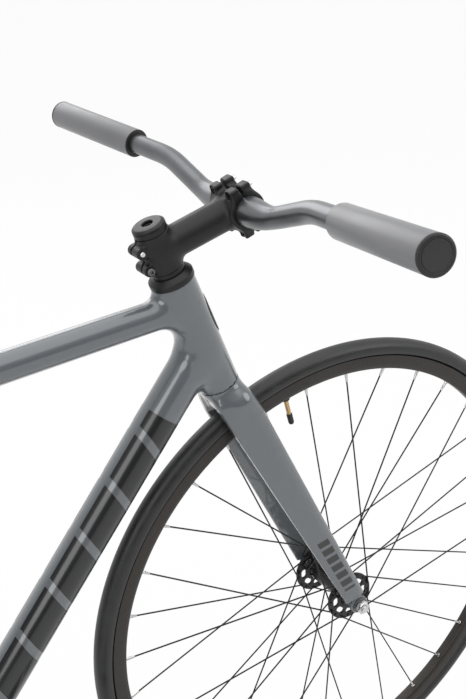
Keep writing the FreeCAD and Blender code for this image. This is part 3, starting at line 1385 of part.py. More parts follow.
def saddle_cover_shape():
    base = shell_level + size("saddle_shell") + size("saddle_gap")
    sections = []
    lifts = [(0.0, 0.62), (0.07, 0.95), (0.3, 1.0), (0.55, 0.86), (0.8, 0.8), (0.95, 0.74), (1.0, 0.5)]
    for share, lift in lifts:
        high = base + size("saddle_pad") * lift
        sections.append(saddle_section(share, base, high, size("saddle_pad") * 0.22, 0.86))
    return Part.makeLoft(sections, True, False)


def saddle_base_shape():
    sections = []
    for share in (0.02, 0.09, 0.3, 0.55, 0.8, 0.97):
        x = saddle_tail + size("saddle_length") * share
        half = saddle_half_width(share) * 0.84
        corners = [Vector(x, -half, shell_level + size("saddle_shell")), Vector(x, -half * 0.86, shell_level),
                   Vector(x, half * 0.86, shell_level), Vector(x, half, shell_level + size("saddle_shell"))]
        sections.append(Part.makePolygon(corners + corners[:1]))
    return Part.makeLoft(sections, True, True)


def mitred_rod(points, radius, sides):
    # rod with flat sides along a line of points, mitred where it turns
    ways = [(after - before).normalize() for before, after in zip(points, points[1:])]
    pieces = []
    for index, way in enumerate(ways):
        start = points[index] - way * (4 * radius if index else 0)
        end = points[index + 1] + way * (4 * radius if index + 1 < len(ways) else 0)
        rod = prism(start, end, radius, sides)
        for corner, other, sense in ((index, index - 1, 1), (index + 1, index + 1, -1)):
            if 0 < corner < len(ways):
                normal = (way + ways[other]).normalize() * -sense
                rod = rod.cut(Part.makeCylinder(6 * radius, 12 * radius, points[corner], normal))
        pieces.append(rod)
    return pieces[0].fuse(pieces[1:])


def rail_shapes():
    # each rail rises from the clamp to the shell at the nose and at the tail, and ends flat under it
    rails = []
    level = tilt_point.z - size("rail_depth")
    top = shell_level + size("saddle_shell")
    above = Part.makeBox(2 * size("saddle_length"), 2 * size("saddle_length"), size("saddle_length"))
    above.translate(Vector(saddle_tail - size("saddle_length") / 2, -size("saddle_length"),
                           shell_level - size("fit_gap")))
    for side in (1, -1):
        def spot(share, aside, height):
            return Vector(saddle_tail + size("saddle_length") * share, side * aside, height)

        points = [
            spot(0.16, size("rail_tail_spread"), top),
            spot(0.22, size("rail_tail_bend"), level + size("rail_tail_rise")),
            spot(0.32, size("rail_spread"), level),
            spot(0.66, size("rail_spread"), level),
            spot(0.8, size("rail_nose_bend"), level + size("rail_nose_rise")),
            spot(0.9, size("rail_nose_spread"), top),
        ]
        rails.append(mitred_rod(points, size("rail_radius"), 8).cut(above))
    return rails


node(feature("saddle_base", saddle_base_shape()), "saddle_base")
node(feature("saddle_cover", saddle_cover_shape()), "saddle_cover")
node(feature("saddle_rails", Part.makeCompound(rail_shapes())), "saddle_rails")

# Check every object before anything is written
document.recompute()
for thing in document.Objects:
    if "Invalid" in thing.State or "Error" in thing.State:
        raise RuntimeError("failed object: " + thing.Label)
for name, piece in nodes.items():
    if piece.Shape.isNull() or not piece.Shape.isValid() or not piece.Shape.Solids:
        raise RuntimeError("bad shape: " + name)
for name, piece in nodes.items():
    piece.Shape.exportStep("parts/%s.step" % name)
print(len(nodes), "nodes,", sum(len(piece.Shape.Solids) for piece in nodes.values()), "solids")
print("wheelbase", round(wheelbase, 2), "chain stay", round(chain_stay_length, 2), "links", len(pins))
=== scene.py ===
import itertools
import json
import math

import bpy
import numpy as np
from mathutils import Matrix, Vector


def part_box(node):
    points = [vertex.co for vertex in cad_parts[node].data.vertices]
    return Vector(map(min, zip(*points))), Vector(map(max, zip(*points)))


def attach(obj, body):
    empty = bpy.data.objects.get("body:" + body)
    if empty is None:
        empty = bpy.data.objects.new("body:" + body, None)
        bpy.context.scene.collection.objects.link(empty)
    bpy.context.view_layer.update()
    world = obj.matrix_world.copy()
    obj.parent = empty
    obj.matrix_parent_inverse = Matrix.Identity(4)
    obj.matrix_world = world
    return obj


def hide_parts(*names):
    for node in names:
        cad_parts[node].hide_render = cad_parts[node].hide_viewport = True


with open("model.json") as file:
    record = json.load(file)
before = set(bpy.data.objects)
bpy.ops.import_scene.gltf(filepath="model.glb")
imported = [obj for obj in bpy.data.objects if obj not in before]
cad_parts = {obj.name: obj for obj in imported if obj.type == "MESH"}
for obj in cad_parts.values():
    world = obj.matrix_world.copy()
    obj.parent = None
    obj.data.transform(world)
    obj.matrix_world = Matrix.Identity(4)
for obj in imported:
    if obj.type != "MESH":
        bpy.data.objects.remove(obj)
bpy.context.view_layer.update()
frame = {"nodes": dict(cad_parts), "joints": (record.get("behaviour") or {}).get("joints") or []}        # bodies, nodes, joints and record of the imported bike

scene = bpy.context.scene
mm = 0.001               # all shapes below are drawn in millimetres
sharpEdge = 38           # degrees between faces that aren't shaded as one


# dictionary of a piece's settings, also read as attributes
class Settings(dict):
    __getattr__ = dict.__getitem__


# main points of the bike, from its own joints
joints = {joint["name"]: joint for joint in frame["joints"]}


def jointPoint(name):
    return np.array(joints[name]["pos_m"], float) / mm


def unit(way):
    return way / np.linalg.norm(way)


def unitRows(rows):
    return rows / np.maximum(np.linalg.norm(rows, axis=1), 1e-9)[:, None]


leftWay = np.array((0.0, 1.0, 0.0))
forwardWay = np.array((1.0, 0.0, 0.0))
upWay = np.array((0.0, 0.0, 1.0))
squareWays = (forwardWay, leftWay, upWay)
frontAxle = jointPoint("front_wheel_spin")
rearAxle = jointPoint("rear_wheel_spin")
bracket = jointPoint("crank_spin")
steerFoot = jointPoint("steering")
steerUp = unit(np.array(joints["steering"]["axis"], float))
steerAhead = np.cross(leftWay, steerUp)
steerWays = (steerAhead, leftWay, steerUp)
seatUp = unit(np.array(joints["seatpost_slide"]["axis"], float))
saddlePivot = jointPoint("saddle_tilt")


def steerPoint(height, ahead=0.0, aside=0.0):
    return steerFoot + steerUp * height + steerAhead * ahead + leftWay * aside


def steerLocal(points):
    local = points - steerFoot
    return local @ steerAhead, local[:, 1], local @ steerUp


# heights along the steerer, from the foot of the steering axis, and the stem's length and drop
steerer = Settings(
    crownTop=369.0, headLow=369.6, headHigh=507.0, coverTop=516.5, spacerTop=521.5, stemTop=563.5,
    stemLength=96.1, stemDrop=5.9,
)
stemMiddle = (steerer.spacerTop + steerer.stemTop) / 2
barPoint = steerPoint(stemMiddle - steerer.stemDrop, steerer.stemLength)


# shader maths as Python expressions: a socket with operators
class Flow:
    def __init__(self, tree, socket=None):
        self.tree = tree
        self.socket = socket

    def add(self, kind, settings, values, out=0):
        node = self.tree.nodes.new(kind)
        for key, value in settings.items():
            setattr(node, key, value)
        for key, value in values.items():
            if isinstance(value, Flow):
                self.tree.links.new(value.socket, node.inputs[key])
            else:
                node.inputs[key].default_value = value
        return Flow(self.tree, node.outputs[out])

    def maths(self, operation, first, second=0.0):
        return self.add("ShaderNodeMath", {"operation": operation}, {0: first, 1: second})

    def vector(self, operation, other=(0, 0, 0), out="Vector"):
        values = {0: self, 1: tuple(other)}
        return self.add("ShaderNodeVectorMath", {"operation": operation}, values, out)

    def __add__(self, other):
        return self.maths("ADD", self, other)

    __radd__ = __add__

    def __sub__(self, other):
        return self.maths("SUBTRACT", self, other)

    def __rsub__(self, other):
        return self.maths("SUBTRACT", other, self)

    def __mul__(self, other):
        return self.maths("MULTIPLY", self, other)

    __rmul__ = __mul__

    def __truediv__(self, other):
        return self.maths("DIVIDE", self, other)

    def __gt__(self, other):
        return self.maths("GREATER_THAN", self, other)

    def __lt__(self, other):
        return self.maths("LESS_THAN", self, other)

    def size(self):
        return self.maths("ABSOLUTE", self)

    def share(self):
        return self.maths("FRACT", self)

    def dot(self, way):
        return self.vector("DOT_PRODUCT", way, "Value")

    def minus(self, point):
        return self.vector("SUBTRACT", point)

    def stretched(self, amounts):
        return self.vector("MULTIPLY", amounts)

    def length(self):
        return self.vector("LENGTH", out="Value")

    def noise(self, scale, detail=3.0, rough=0.5):
        values = {"Vector": self, "Scale": scale, "Detail": detail, "Roughness": rough}
        return self.add("ShaderNodeTexNoise", {}, values, "Fac")

    def soft(self, low, high):
        values = {"Value": self, "From Min": low, "From Max": high}
        return self.add("ShaderNodeMapRange", {"interpolation_type": "SMOOTHSTEP"}, values, "Result")

    def mix(self, first, second):
        return self.add("ShaderNodeMix", {"data_type": "RGBA"}, {"Factor": self, 6: first, 7: second}, 2)

    def bump(self, strength, distance):
        values = {"Strength": strength, "Distance": distance, "Height": self}
        return self.add("ShaderNodeBump", {}, values, "Normal")


def makeFinish(name, constants, paint):
    material = bpy.data.materials.new(name)
    material.use_nodes = True
    tree = material.node_tree
    shader = tree.nodes["Principled BSDF"]
    for socket, value in constants.items():
        shader.inputs[socket].default_value = value
    place = Flow(tree).add("ShaderNodeTexCoord", {}, {}, "Object")
    for socket, flow in paint(place).items():
        tree.links.new(flow.socket, shader.inputs[socket])
    return material


def grey(level):
    return (level, level, level, 1)


# frame paint, with plain dark bands along the down tube and on the fork blades (metres)
paintLook = Settings(
    colour=(0.128, 0.141, 0.152, 1), shade=(0.114, 0.127, 0.138, 1), band=(0.006, 0.0066, 0.0075, 1),
    bandStart=0.085, bandEnd=0.53, bandStep=0.062, bandShare=0.84, bandSlant=0.45, bandHalf=0.0208,
    bandInner=0.003, bandOuter=0.03, bandCoat=0.5,
    bladeStart=0.035, bladeEnd=0.125, bladeStep=0.0145, bladeShare=0.68, bladeHalf=0.0075, bladeLean=0.0867,
    bladeTaper=0.0856, bladeSide=0.0546, bladeCoat=0.4,
)
downStart = steerPoint(steerer.headLow + 51.5)
downWay = unit(bracket - downStart)
downAcross = np.cross(leftWay, downWay)


def glossyPaint(place, mask, coatLoss):
    colour = place.noise(2600, 2).soft(0.35, 0.7).mix(paintLook.shade, paintLook.colour)
    return {
        "Base Color": mask.mix(colour, paintLook.band),
        "Roughness": place.noise(9, 1).soft(0.2, 0.8) * 0.06 + 0.2 + mask * 0.05,
        "Coat Weight": 0.9 - mask * coatLoss,
        "Normal": place.noise(700, 2).bump(0.008, 0.0004),
    }


def framePaint(place):
    look = paintLook
    local = place.minus(downStart * mm)
    along = local.dot(downWay)
    across = local.dot(downAcross)
    aside = place.dot(leftWay).size()
    onTube = (across.size() < look.bandHalf) * (aside > look.bandInner) * (aside < look.bandOuter)
    onRun = (along > look.bandStart) * (along < look.bandEnd)
    stripe = ((along + across * look.bandSlant) / look.bandStep).share() < look.bandShare
    return glossyPaint(place, onTube * onRun * stripe, look.bandCoat)


def forkPaint(place):
    look = paintLook
    local = place.minus(frontAxle * mm)
    along = local.dot(steerUp)
    across = (local.dot(steerAhead) + along * look.bladeLean).size()
    stripe = (along / look.bladeStep).share() < look.bladeShare
    outside = place.dot(leftWay).size() + along * look.bladeTaper > look.bladeSide
    onRun = (along > look.bladeStart) * (along < look.bladeEnd)
    return glossyPaint(place, stripe * onRun * outside * (across < look.bladeHalf), look.bladeCoat)


def tyrePaint(place):
    # fine pores and dust, and a painted shade line, near black, where the sidewall meets the rim, standing in
    # for the shadow in the crease between them
    frontRing = place.minus(frontAxle * mm).stretched((1, 0, 1)).length()
    rearRing = place.minus(rearAxle * mm).stretched((1, 0, 1)).length()
    ahead = place.dot(forwardWay) > 0
    radius = frontRing * ahead + rearRing * (1 - ahead)
    dust = place.noise(60, 4).soft(0.35, 0.75)
    colour = dust.mix((0.0105, 0.0108, 0.0115, 1), (0.0175, 0.018, 0.019, 1))
    return {
        # painted shade: near-black ring at the foot of the sidewall next to the rim, for the shadow between
        # tyre and rim
        "Base Color": (radius < 0.3194).mix(colour, grey(0.002)),
        "Roughness": dust * 0.1 + 0.36 + (radius > 0.3305) * 0.04,
        "Normal": place.noise(1500, 4, 0.7).bump(0.22, 0.0004),
    }


def grained(dark, light, scale, lowRough, roughSpan, bump, distance):
    def paint(place):
        grain = place.noise(scale, 4, 0.6)
        patch = place.noise(scale / 40, 3)
        return {
            "Base Color": (grain * 0.6 + patch * 0.4).soft(0.3, 0.7).mix(dark, light),
            "Roughness": patch.soft(0.25, 0.75) * roughSpan + lowRough,
            "Normal": grain.bump(bump, distance),
        }
    return paint


def brushed(dark, light, stretch, lowRough, roughSpan):
    # fine lines along the axis that has the smallest factor
    def paint(place):
        lines = place.stretched(stretch).noise(1, 4, 0.65)
        patch = place.noise(30, 3)
        return {
            "Base Color": (lines * 0.5 + patch * 0.5).soft(0.3, 0.7).mix(dark, light),
            "Roughness": lines.soft(0.2, 0.8) * roughSpan + lowRough,
            "Normal": lines.bump(0.06, 0.0002),
        }
    return paint


# finishes by name: material, slot, constants of its shader and the paint function
gloss = {"Coat Roughness": 0.05}
sheen = {"Sheen Weight": 0.35, "Sheen Roughness": 0.22}
foam = {"Specular IOR Level": 0.65, "Sheen Weight": 0.5, "Sheen Roughness": 0.22}
barTones = ((0.15, 0.154, 0.162, 1), (0.185, 0.189, 0.198, 1))
rimTones = ((0.03, 0.0262, 0.0232, 1), (0.045, 0.0395, 0.0355, 1))
gripTones = ((0.17, 0.171, 0.178, 1), (0.205, 0.206, 0.214, 1))
brassTones = ((0.46, 0.3, 0.13, 1), (0.6, 0.42, 0.2, 1))


def greys(dark, light):
    return grey(dark), grey(light)


def metal(amount, **others):
    return {"Metallic": amount, **others}


def shine(level):
    return {"Specular IOR Level": level}


looks = {
    "frame": ("glossyGreyPaint", "frame_paint", gloss, framePaint),
    "fork": ("glossyForkPaint", "frame_paint", gloss, forkPaint),
    "tyre": ("blackTyreRubber", "tyre_rubber", shine(0.5), tyrePaint),
    "black": ("satinBlackMetal", "black_metal", metal(0.35, **shine(0.45)),
              grained(*greys(0.0095, 0.016), 1400, 0.36, 0.1, 0.1, 0.0003)),
    "hub": ("blackHubMetal", "black_metal", metal(0.5),
            grained(*greys(0.012, 0.022), 900, 0.18, 0.08, 0.03, 0.0002)),
    "bar": ("satinGreyBar", "bar_metal", metal(0.9, **sheen),
            grained(*barTones, 1800, 0.3, 0.07, 0.06, 0.0002)),
    "rim": ("darkRimMetal", "rim_metal", metal(0.55), grained(*rimTones, 700, 0.34, 0.12, 0.05, 0.0002)),
    "spoke": ("blackSpokeSteel", "dark_steel", metal(0.6),
              grained(*greys(0.01, 0.02), 1200, 0.32, 0.1, 0.05, 0.0002)),
    "steel": ("brightSteel", "steel", metal(1.0), brushed(*greys(0.52, 0.66), (900, 120, 900), 0.16, 0.16)),
    "satin": ("satinAlloy", "steel", metal(1.0), brushed(*greys(0.4, 0.52), (700, 700, 120), 0.28, 0.16)),
    "darkSteel": ("darkSteel", "dark_steel", metal(0.9),
                  grained(*greys(0.1, 0.17), 700, 0.26, 0.16, 0.06, 0.0002)),
    "brass": ("valveBrass", "valve_brass", metal(1.0), brushed(*brassTones, (900, 900, 200), 0.24, 0.14)),
    "grip": ("greyGripFoam", "grip_rubber", foam, grained(*gripTones, 1600, 0.34, 0.1, 0.16, 0.0003)),
    "plastic": ("blackPlastic", "black_plastic", shine(0.45),
                grained(*greys(0.012, 0.02), 1100, 0.42, 0.14, 0.16, 0.0003)),
    "crank": ("blackCrankMetal", "crank_metal", metal(0.5),
              grained(*greys(0.014, 0.024), 1000, 0.28, 0.12, 0.05, 0.0002)),
    "leather": ("blackSaddleSkin", "saddle_skin", shine(0.4),
                grained(*greys(0.013, 0.024), 520, 0.44, 0.14, 0.42, 0.0006)),
    "disc": ("greyCapDisc", "black_plastic", metal(0.3),
             grained(*greys(0.03, 0.042), 900, 0.4, 0.1, 0.06, 0.0002)),
}
finishes = {}
for finish, (name, slot, constants, paint) in looks.items():
    finishes[finish] = makeFinish(name, constants, paint)
print("finishes", len(finishes))


# shape helpers: every shape is a pair of points and faces, and a skin brings its normals too
def gathered(shapes):
    points = []
    faces = []
    count = 0
    for some, sides in shapes:
        points.append(np.asarray(some, float))
        faces += [[index + count for index in side] for side in sides]
        count += len(some)
    return np.concatenate(points), faces


def coat(thing, finish):
    thing.data.materials.clear()
    thing.data.materials.append(finishes[finish])


def dress(thing, finish, body, nodes):
    coat(thing, finish)
    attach(thing, body)
    if nodes:
        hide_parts(*nodes)


def makePiece(name, shape, finish, body, nodes=(), sharp=sharpEdge):
    points, faces, *normals = shape
    mesh = bpy.data.meshes.new(name)
    mesh.from_pydata((np.asarray(points) * mm).tolist(), [], [list(face) for face in faces])
    mesh.polygons.foreach_set("use_smooth", [True] * len(mesh.polygons))
    if normals:
        mesh.normals_split_custom_set_from_vertices(normals[0].tolist())
    else:
        mesh.set_sharp_from_angle(angle=math.radians(sharp))
    mesh.update()
    thing = bpy.data.objects.new(name, mesh)
    scene.collection.objects.link(thing)
    dress(thing, finish, body, nodes)
    return thing


def softenEdges(thing, width):
    # welds split corners and puts a small bevel on the edges
    weld = thing.modifiers.new("weld", "WELD")
    weld.merge_threshold = 0.00001
    bevel = thing.modifiers.new("bevel", "BEVEL")
    bevel.width = width
    bevel.segments = 2
    bevel.limit_method = "ANGLE"
    bevel.angle_limit = math.radians(sharpEdge)
    bevel.harden_normals = True


def eased(corners, ease, closed=True):
    # rounds the corners of an outline; a corner may bring its own radius as a third number
    done = []
    count = len(corners)
    for index, corner in enumerate(corners):
        point = np.array(corner[:2], float)
        radius = corner[2] if len(corner) > 2 else ease
        if radius <= 0 or (not closed and index in (0, count - 1)):
            done.append(point)
            continue
        before = np.array(corners[index - 1][:2], float) - point
        after = np.array(corners[(index + 1) % count][:2], float) - point
        reach = min(radius, 0.45 * np.linalg.norm(before), 0.45 * np.linalg.norm(after))
        start = point + unit(before) * reach
        end = point + unit(after) * reach
        for share in np.linspace(0, 1, 4):
            done.append(start * (1 - share) ** 2 + 2 * point * share * (1 - share) + end * share ** 2)
    return done


def rowFaces(rows, count, loop=False):
    # quads between rows of points, with flat ends unless the last row meets the first
    faces = []
    for row in range(rows if loop else rows - 1):
        low = row * count
        high = (row + 1) % rows * count
        for k in range(count):
            n = (k + 1) % count
            faces.append((low + k, low + n, high + n, high + k))
    if not loop:
        faces.append(tuple(range(count))[::-1])
        faces.append(tuple((rows - 1) * count + k for k in range(count)))
    return faces


def axes(axis, start=None):
    axis = unit(np.asarray(axis, float))
    start = upWay if start is None else np.asarray(start, float)
    if abs(unit(start).dot(axis)) > 0.95:
        start = forwardWay
    first = unit(start - axis * start.dot(axis))
    return first, np.cross(axis, first), axis


def circle(steps, first, second):
    turns = np.arange(steps) * 2 * math.pi / steps
    return np.outer(np.cos(turns), first) + np.outer(np.sin(turns), second)


def arc(radius, start, end, steps, middle=0):
    # points of an arc, with the angles in degrees
    turns = np.radians(np.linspace(start, end, steps))
    return [(middle + radius * math.cos(turn), radius * math.sin(turn)) for turn in turns]


def lathe(profile, steps, origin, axis, start=None, closed=True, hexRows=()):
    # turns an outline of radius and height; rows named in hexRows become hexagons
    first, second, axis = axes(axis, start)
    ring = circle(steps, first, second)
    turns = np.arange(steps) * 2 * math.pi / steps
    sixth = math.pi / 3
    flats = math.cos(sixth / 2) / np.cos((turns + sixth / 2) % sixth - sixth / 2)
    rows = []
    for row, (radius, height) in enumerate(profile):
        reach = radius * (flats if row in hexRows else np.ones(steps))
        rows.append(origin + ring * reach[:, None] + axis * height)
    return np.concatenate(rows), rowFaces(len(profile), steps, closed)


def turned(outline, ease, steps, origin, axis, closed=True, start=None):
    return lathe(eased(outline, ease, closed), steps, origin, axis, start, closed)


def sweep(path, radii, sides):
    # round rod along points, with its rings carried from one to the next
    path = np.asarray(path, float)
    ways = unitRows(np.diff(path, axis=0))
    tangents = np.vstack([ways[:1], ways[:-1] + ways[1:], ways[-1:]])
    first = axes(tangents[0])[0]
    rows = []
    for point, tangent, radius in zip(path, tangents, np.broadcast_to(radii, len(path))):
        tangent = unit(tangent)
        first = unit(first - tangent * first.dot(tangent))
        rows.append(point + radius * circle(sides, first, np.cross(tangent, first)))
    return np.concatenate(rows), rowFaces(len(path), sides)


def bentPath(corners, radius, steps):
    # straight runs joined by round bends
    path = [np.asarray(corners[0], float)]
    radii = np.broadcast_to(radius, len(corners) - 2)
    for before, corner, after, radius in zip(corners, corners[1:], corners[2:], radii):
        into = unit(np.asarray(corner) - before)
        out = unit(np.asarray(after) - corner)
        turn = math.acos(max(-1.0, min(1.0, into.dot(out))))
        centre = corner + unit(out - into) * radius / math.cos(turn / 2)
        start = corner - into * radius * math.tan(turn / 2) - centre
        for angle in np.linspace(0, turn, steps):
            path.append(centre + start * math.cos(angle) + into * radius * math.sin(angle))
    path.append(np.asarray(corners[-1], float))
    return path


def slab(outline, low, high, bevel, origin, across, along, normal):
    # flat plate with bevelled edges from an outline
    flat = np.array(outline, float)
    inward = unitRows(np.roll(flat, 1, axis=0) - flat) + unitRows(np.roll(flat, -1, axis=0) - flat)
    straight = np.linalg.norm(inward, axis=1)[:, None] <= 0.05
    inward = np.where(straight, unitRows(flat.mean(axis=0) - flat), unitRows(inward))
    shrunk = flat + inward * bevel
    points = []
    for row, level in ((shrunk, low), (flat, low + bevel), (flat, high - bevel), (shrunk, high)):
        points.append(origin + np.outer(row[:, 0], across) + np.outer(row[:, 1], along) + normal * level)
    return np.concatenate(points), rowFaces(4, len(flat))


def capBolt(origin, axis, radius, height, socket, steps=24):
    # round head with a hexagon recess
    edge = radius * 0.14
    profile = [(radius, 0), (radius, height - edge), (radius - edge, height), (socket * 1.22, height),
               (socket * 1.1, height - 0.25), (socket * 1.1, height * 0.45), (0.05, height * 0.4)]
    return lathe(profile, steps, origin, axis, closed=False, hexRows=(4, 5))


# fields for blended shapes: negative inside, in millimetres
def rodField(points, start, end, radius, endRadius=None):
    endRadius = radius if endRadius is None else endRadius
    way = end - start
    local = points - start
    share = np.clip(local @ way / way.dot(way), 0, 1)
    return np.linalg.norm(local - share[:, None] * way, axis=1) - (radius + (endRadius - radius) * share)


def roundedMeet(first, second, edge):
    # where both are inside, with a round edge
    first = first + edge
    second = second + edge
    outside = np.sqrt(np.maximum(first, 0) ** 2 + np.maximum(second, 0) ** 2)
    return np.minimum(np.maximum(first, second), 0) + outside - edge


def drumField(points, start, end, radius, edge):
    # cylinder with flat ends and softened edges
    axis = unit(end - start)
    local = points - start
    height = local @ axis
    half = np.linalg.norm(end - start) / 2
    around = np.linalg.norm(local - height[:, None] * axis, axis=1) - radius
    return roundedMeet(around, np.abs(height - half) - half, edge)


def acrossDrum(points, centre, half, radius, edge):
    return drumField(points, centre - leftWay * half, centre + leftWay * half, radius, edge)


def boxField(points, centre, halves, ways, edge):
    sides = [np.abs((points - centre) @ way) - half + edge for way, half in zip(ways, halves)]
    local = np.stack(sides, axis=1)
    return np.linalg.norm(np.maximum(local, 0), axis=1) + np.minimum(local.max(axis=1), 0) - edge


def joined(first, second, soft):
    share = np.clip(0.5 + 0.5 * (second - first) / soft, 0, 1)
    return second * (1 - share) + first * share - soft * share * (1 - share)


def carved(first, tool, soft):
    return -joined(-first, tool, soft)


def smoothStep(value):
    share = np.clip(value, 0, 1)
    return share ** 2 * (3 - 2 * share)


def mirrorSides(points):
    return np.column_stack([points[:, 0], np.abs(points[:, 1]), points[:, 2]])


def fieldSlope(field, points, step=0.25):
    slopes = [(field(points + step * way) - field(points - step * way)) / (2 * step) for way in np.eye(3)]
    return np.stack(slopes, axis=1)


def fieldGrid(field, low, high, pitch, block=8, batch=500):
    # values on a grid; blocks far from the surface are filled from their middle
    counts = np.ceil((np.array(high) - np.array(low)) / (pitch * block)).astype(int)
    values = np.empty(tuple(counts * block), np.float32)
    grid = values.reshape(counts[0], block, counts[1], block, counts[2], block).transpose(0, 2, 4, 1, 3, 5)
    blocks = np.argwhere(np.ones(counts))
    middle = field(low + (blocks + 0.5) * block * pitch)
    grid[...] = middle.reshape(counts)[..., None, None, None]
    near = blocks[np.abs(middle) < 1.3 * block * pitch]
    inner = np.argwhere(np.ones((block, block, block))) * pitch
    for start in range(0, len(near), batch):
        some = near[start:start + batch]
        points = (low + some * block * pitch)[:, None] + inner
        grid[tuple(some.T)] = field(points.reshape(-1, 3)).reshape(-1, block, block, block)
    return values


def skin(field, low, high, pitch):
    # mesh of a field's surface: one point amid the crossings of each cell, drawn onto the surface
    values = fieldGrid(field, low, high, pitch)
    inside = values < 0
    cells = tuple(n - 1 for n in values.shape)
    total = np.zeros(cells, np.int8)
    for i, j, k in itertools.product((0, 1), repeat=3):
        total += inside[i:i + cells[0], j:j + cells[1], k:k + cells[2]]
    mixed = (total > 0) & (total < 8)
    number = np.full(cells, -1, np.int64)
    number[mixed] = np.arange(mixed.sum())
    corner = np.argwhere(mixed)
    crossings = np.zeros(corner.shape)
    counts = np.zeros(len(corner))
    for axis, a, b in itertools.product(range(3), (0, 1), (0, 1)):
        start = corner + np.insert((a, b), axis, 0)
        first = values[tuple(start.T)]
        second = values[tuple((start + np.eye(3, dtype=int)[axis]).T)]
        cut = (first < 0) != (second < 0)
        share = first[cut] / (first[cut] - second[cut])
        crossings[cut] += start[cut] + share[:, None] * np.eye(3)[axis]
        counts[cut] += 1
    home = np.array(low) + crossings / counts[:, None] * pitch
    points = home.copy()
    for attempt in range(4):
        slope = fieldSlope(field, points)
        move = slope * (field(points) / np.maximum((slope ** 2).sum(axis=1), 0.05))[:, None]
        points = home + np.clip(points - move - home, -0.9 * pitch, 0.9 * pitch)
    faces = []
    for axis in range(3):
        ahead = [slice(None)] * 3
        back = [slice(None)] * 3
        ahead[axis] = slice(1, None)
        back[axis] = slice(None, -1)
        crossing = np.argwhere(inside[tuple(ahead)] != inside[tuple(back)])
        others = [other for other in range(3) if other != axis]
        keep = np.all(crossing[:, others] > 0, axis=1)
        keep &= np.all(crossing[:, others] < np.array(cells)[others], axis=1)
        crossing = crossing[keep]
        quad = []
        for a, b in ((0, 0), (1, 0), (1, 1), (0, 1)):
            spot = crossing.copy()
            spot[:, others] -= (a, b)
            quad.append(number[tuple(spot.T)])
        quad = np.stack(quad, axis=1)
        outward = inside[tuple(crossing.T)]
        flip = outward if axis == 1 else ~outward
        quad[flip] = quad[flip][:, ::-1]
        faces.append(quad)
    return points, np.concatenate(faces).tolist(), unitRows(fieldSlope(field, points))


# welded frame: one skin over all its tubes
tubes = Settings(
    head=23.0, down=22.0, top=15.9, seat=15.9, shell=23.0, shellHalf=34.0, topHeight=103.0, topDrop=18.0,
    seatRise=40.2, stay=9.0, stayEnd=7.0, seatStay=8.0, staySpread=19.0, seatStaySpread=15.0,
    seatStayDrop=30.0, tail=30.0, tailSide=63.25, headBlend=17.0, joinBlend=9.0, stayBlend=7.0, pitch=2.2,
    downInset=21, downFoot=16, topInset=19, topFoot=12, seatFoot=10, headReach=34, seatReach=45,
)
headLow = steerPoint(steerer.headLow)
headHigh = steerPoint(steerer.headHigh)
topStart = steerPoint(steerer.headLow + tubes.topHeight)
topEnd = bracket + seatUp * ((topStart[2] - tubes.topDrop - bracket[2]) / seatUp[2])
topWay = unit(topEnd - topStart)
seatTop = topEnd + seatUp * tubes.seatRise
seatStayTop = topEnd - seatUp * tubes.seatStayDrop
stayAhead = unit(bracket - rearAxle)
seatStayAhead = unit(seatStayTop - rearAxle)
tailPoint = rearAxle + leftWay * tubes.tailSide


def frameField(points):
    sides = mirrorSides(points)
    head = drumField(points, headLow, headHigh, tubes.head, 0.6)
    down = rodField(points, downStart + downWay * tubes.downInset, bracket - downWay * tubes.downFoot,
                    tubes.down)
    top = rodField(points, topStart + topWay * tubes.topInset, topEnd - topWay * tubes.topFoot, tubes.top)
    aboveSeat = (points - seatTop) @ seatUp
    seat = rodField(points, bracket + seatUp * tubes.seatFoot, seatTop + seatUp * 20, tubes.seat)
    seat = np.maximum(seat, aboveSeat)
    shell = acrossDrum(points, bracket, tubes.shellHalf, tubes.shell, 0.8)
    chainStay = rodField(sides, bracket + leftWay * tubes.staySpread, tailPoint + stayAhead * tubes.tail,
                         tubes.stay, tubes.stayEnd)
    seatStay = rodField(sides, seatStayTop + leftWay * tubes.seatStaySpread,
                        tailPoint + seatStayAhead * tubes.tail, tubes.seatStay, tubes.stayEnd)
    whole = joined(joined(head, down, tubes.headBlend), top, tubes.headBlend)
    rear = joined(joined(shell, seat, tubes.joinBlend), chainStay, tubes.stayBlend)
    rear = joined(rear, seatStay, tubes.stayBlend)
    whole = joined(whole, rear, tubes.joinBlend)
    ahead, aside, height = steerLocal(points)
    beyond = np.maximum(steerer.headLow - height, height - steerer.headHigh)
    whole = np.where(np.hypot(ahead, aside) < tubes.headReach, np.maximum(whole, beyond), whole)
    nearSeat = np.linalg.norm(points - seatTop, axis=1) < tubes.seatReach
    return np.maximum(whole, np.where(nearSeat, aboveSeat, -99))


frameSkin = skin(frameField, (rearAxle[0] - 12, -76, bracket[2] - 38),
                 (headLow[0] + 44, 76, headHigh[2] + 14), tubes.pitch)
makePiece("welded_frame", frameSkin, "frame", "frame",
          ("head_tube", "top_tube", "down_tube", "seat_tube", "bottom_bracket_shell", "chain_stays",
           "seat_stays"))
print("frame skin", len(frameSkin[0]), "points")

# plain dark plate on the front of the head tube
plate = Settings(middle=450.5, halfHigh=26.5, halfAngle=36.0, radius=24.0, rows=21, columns=13)


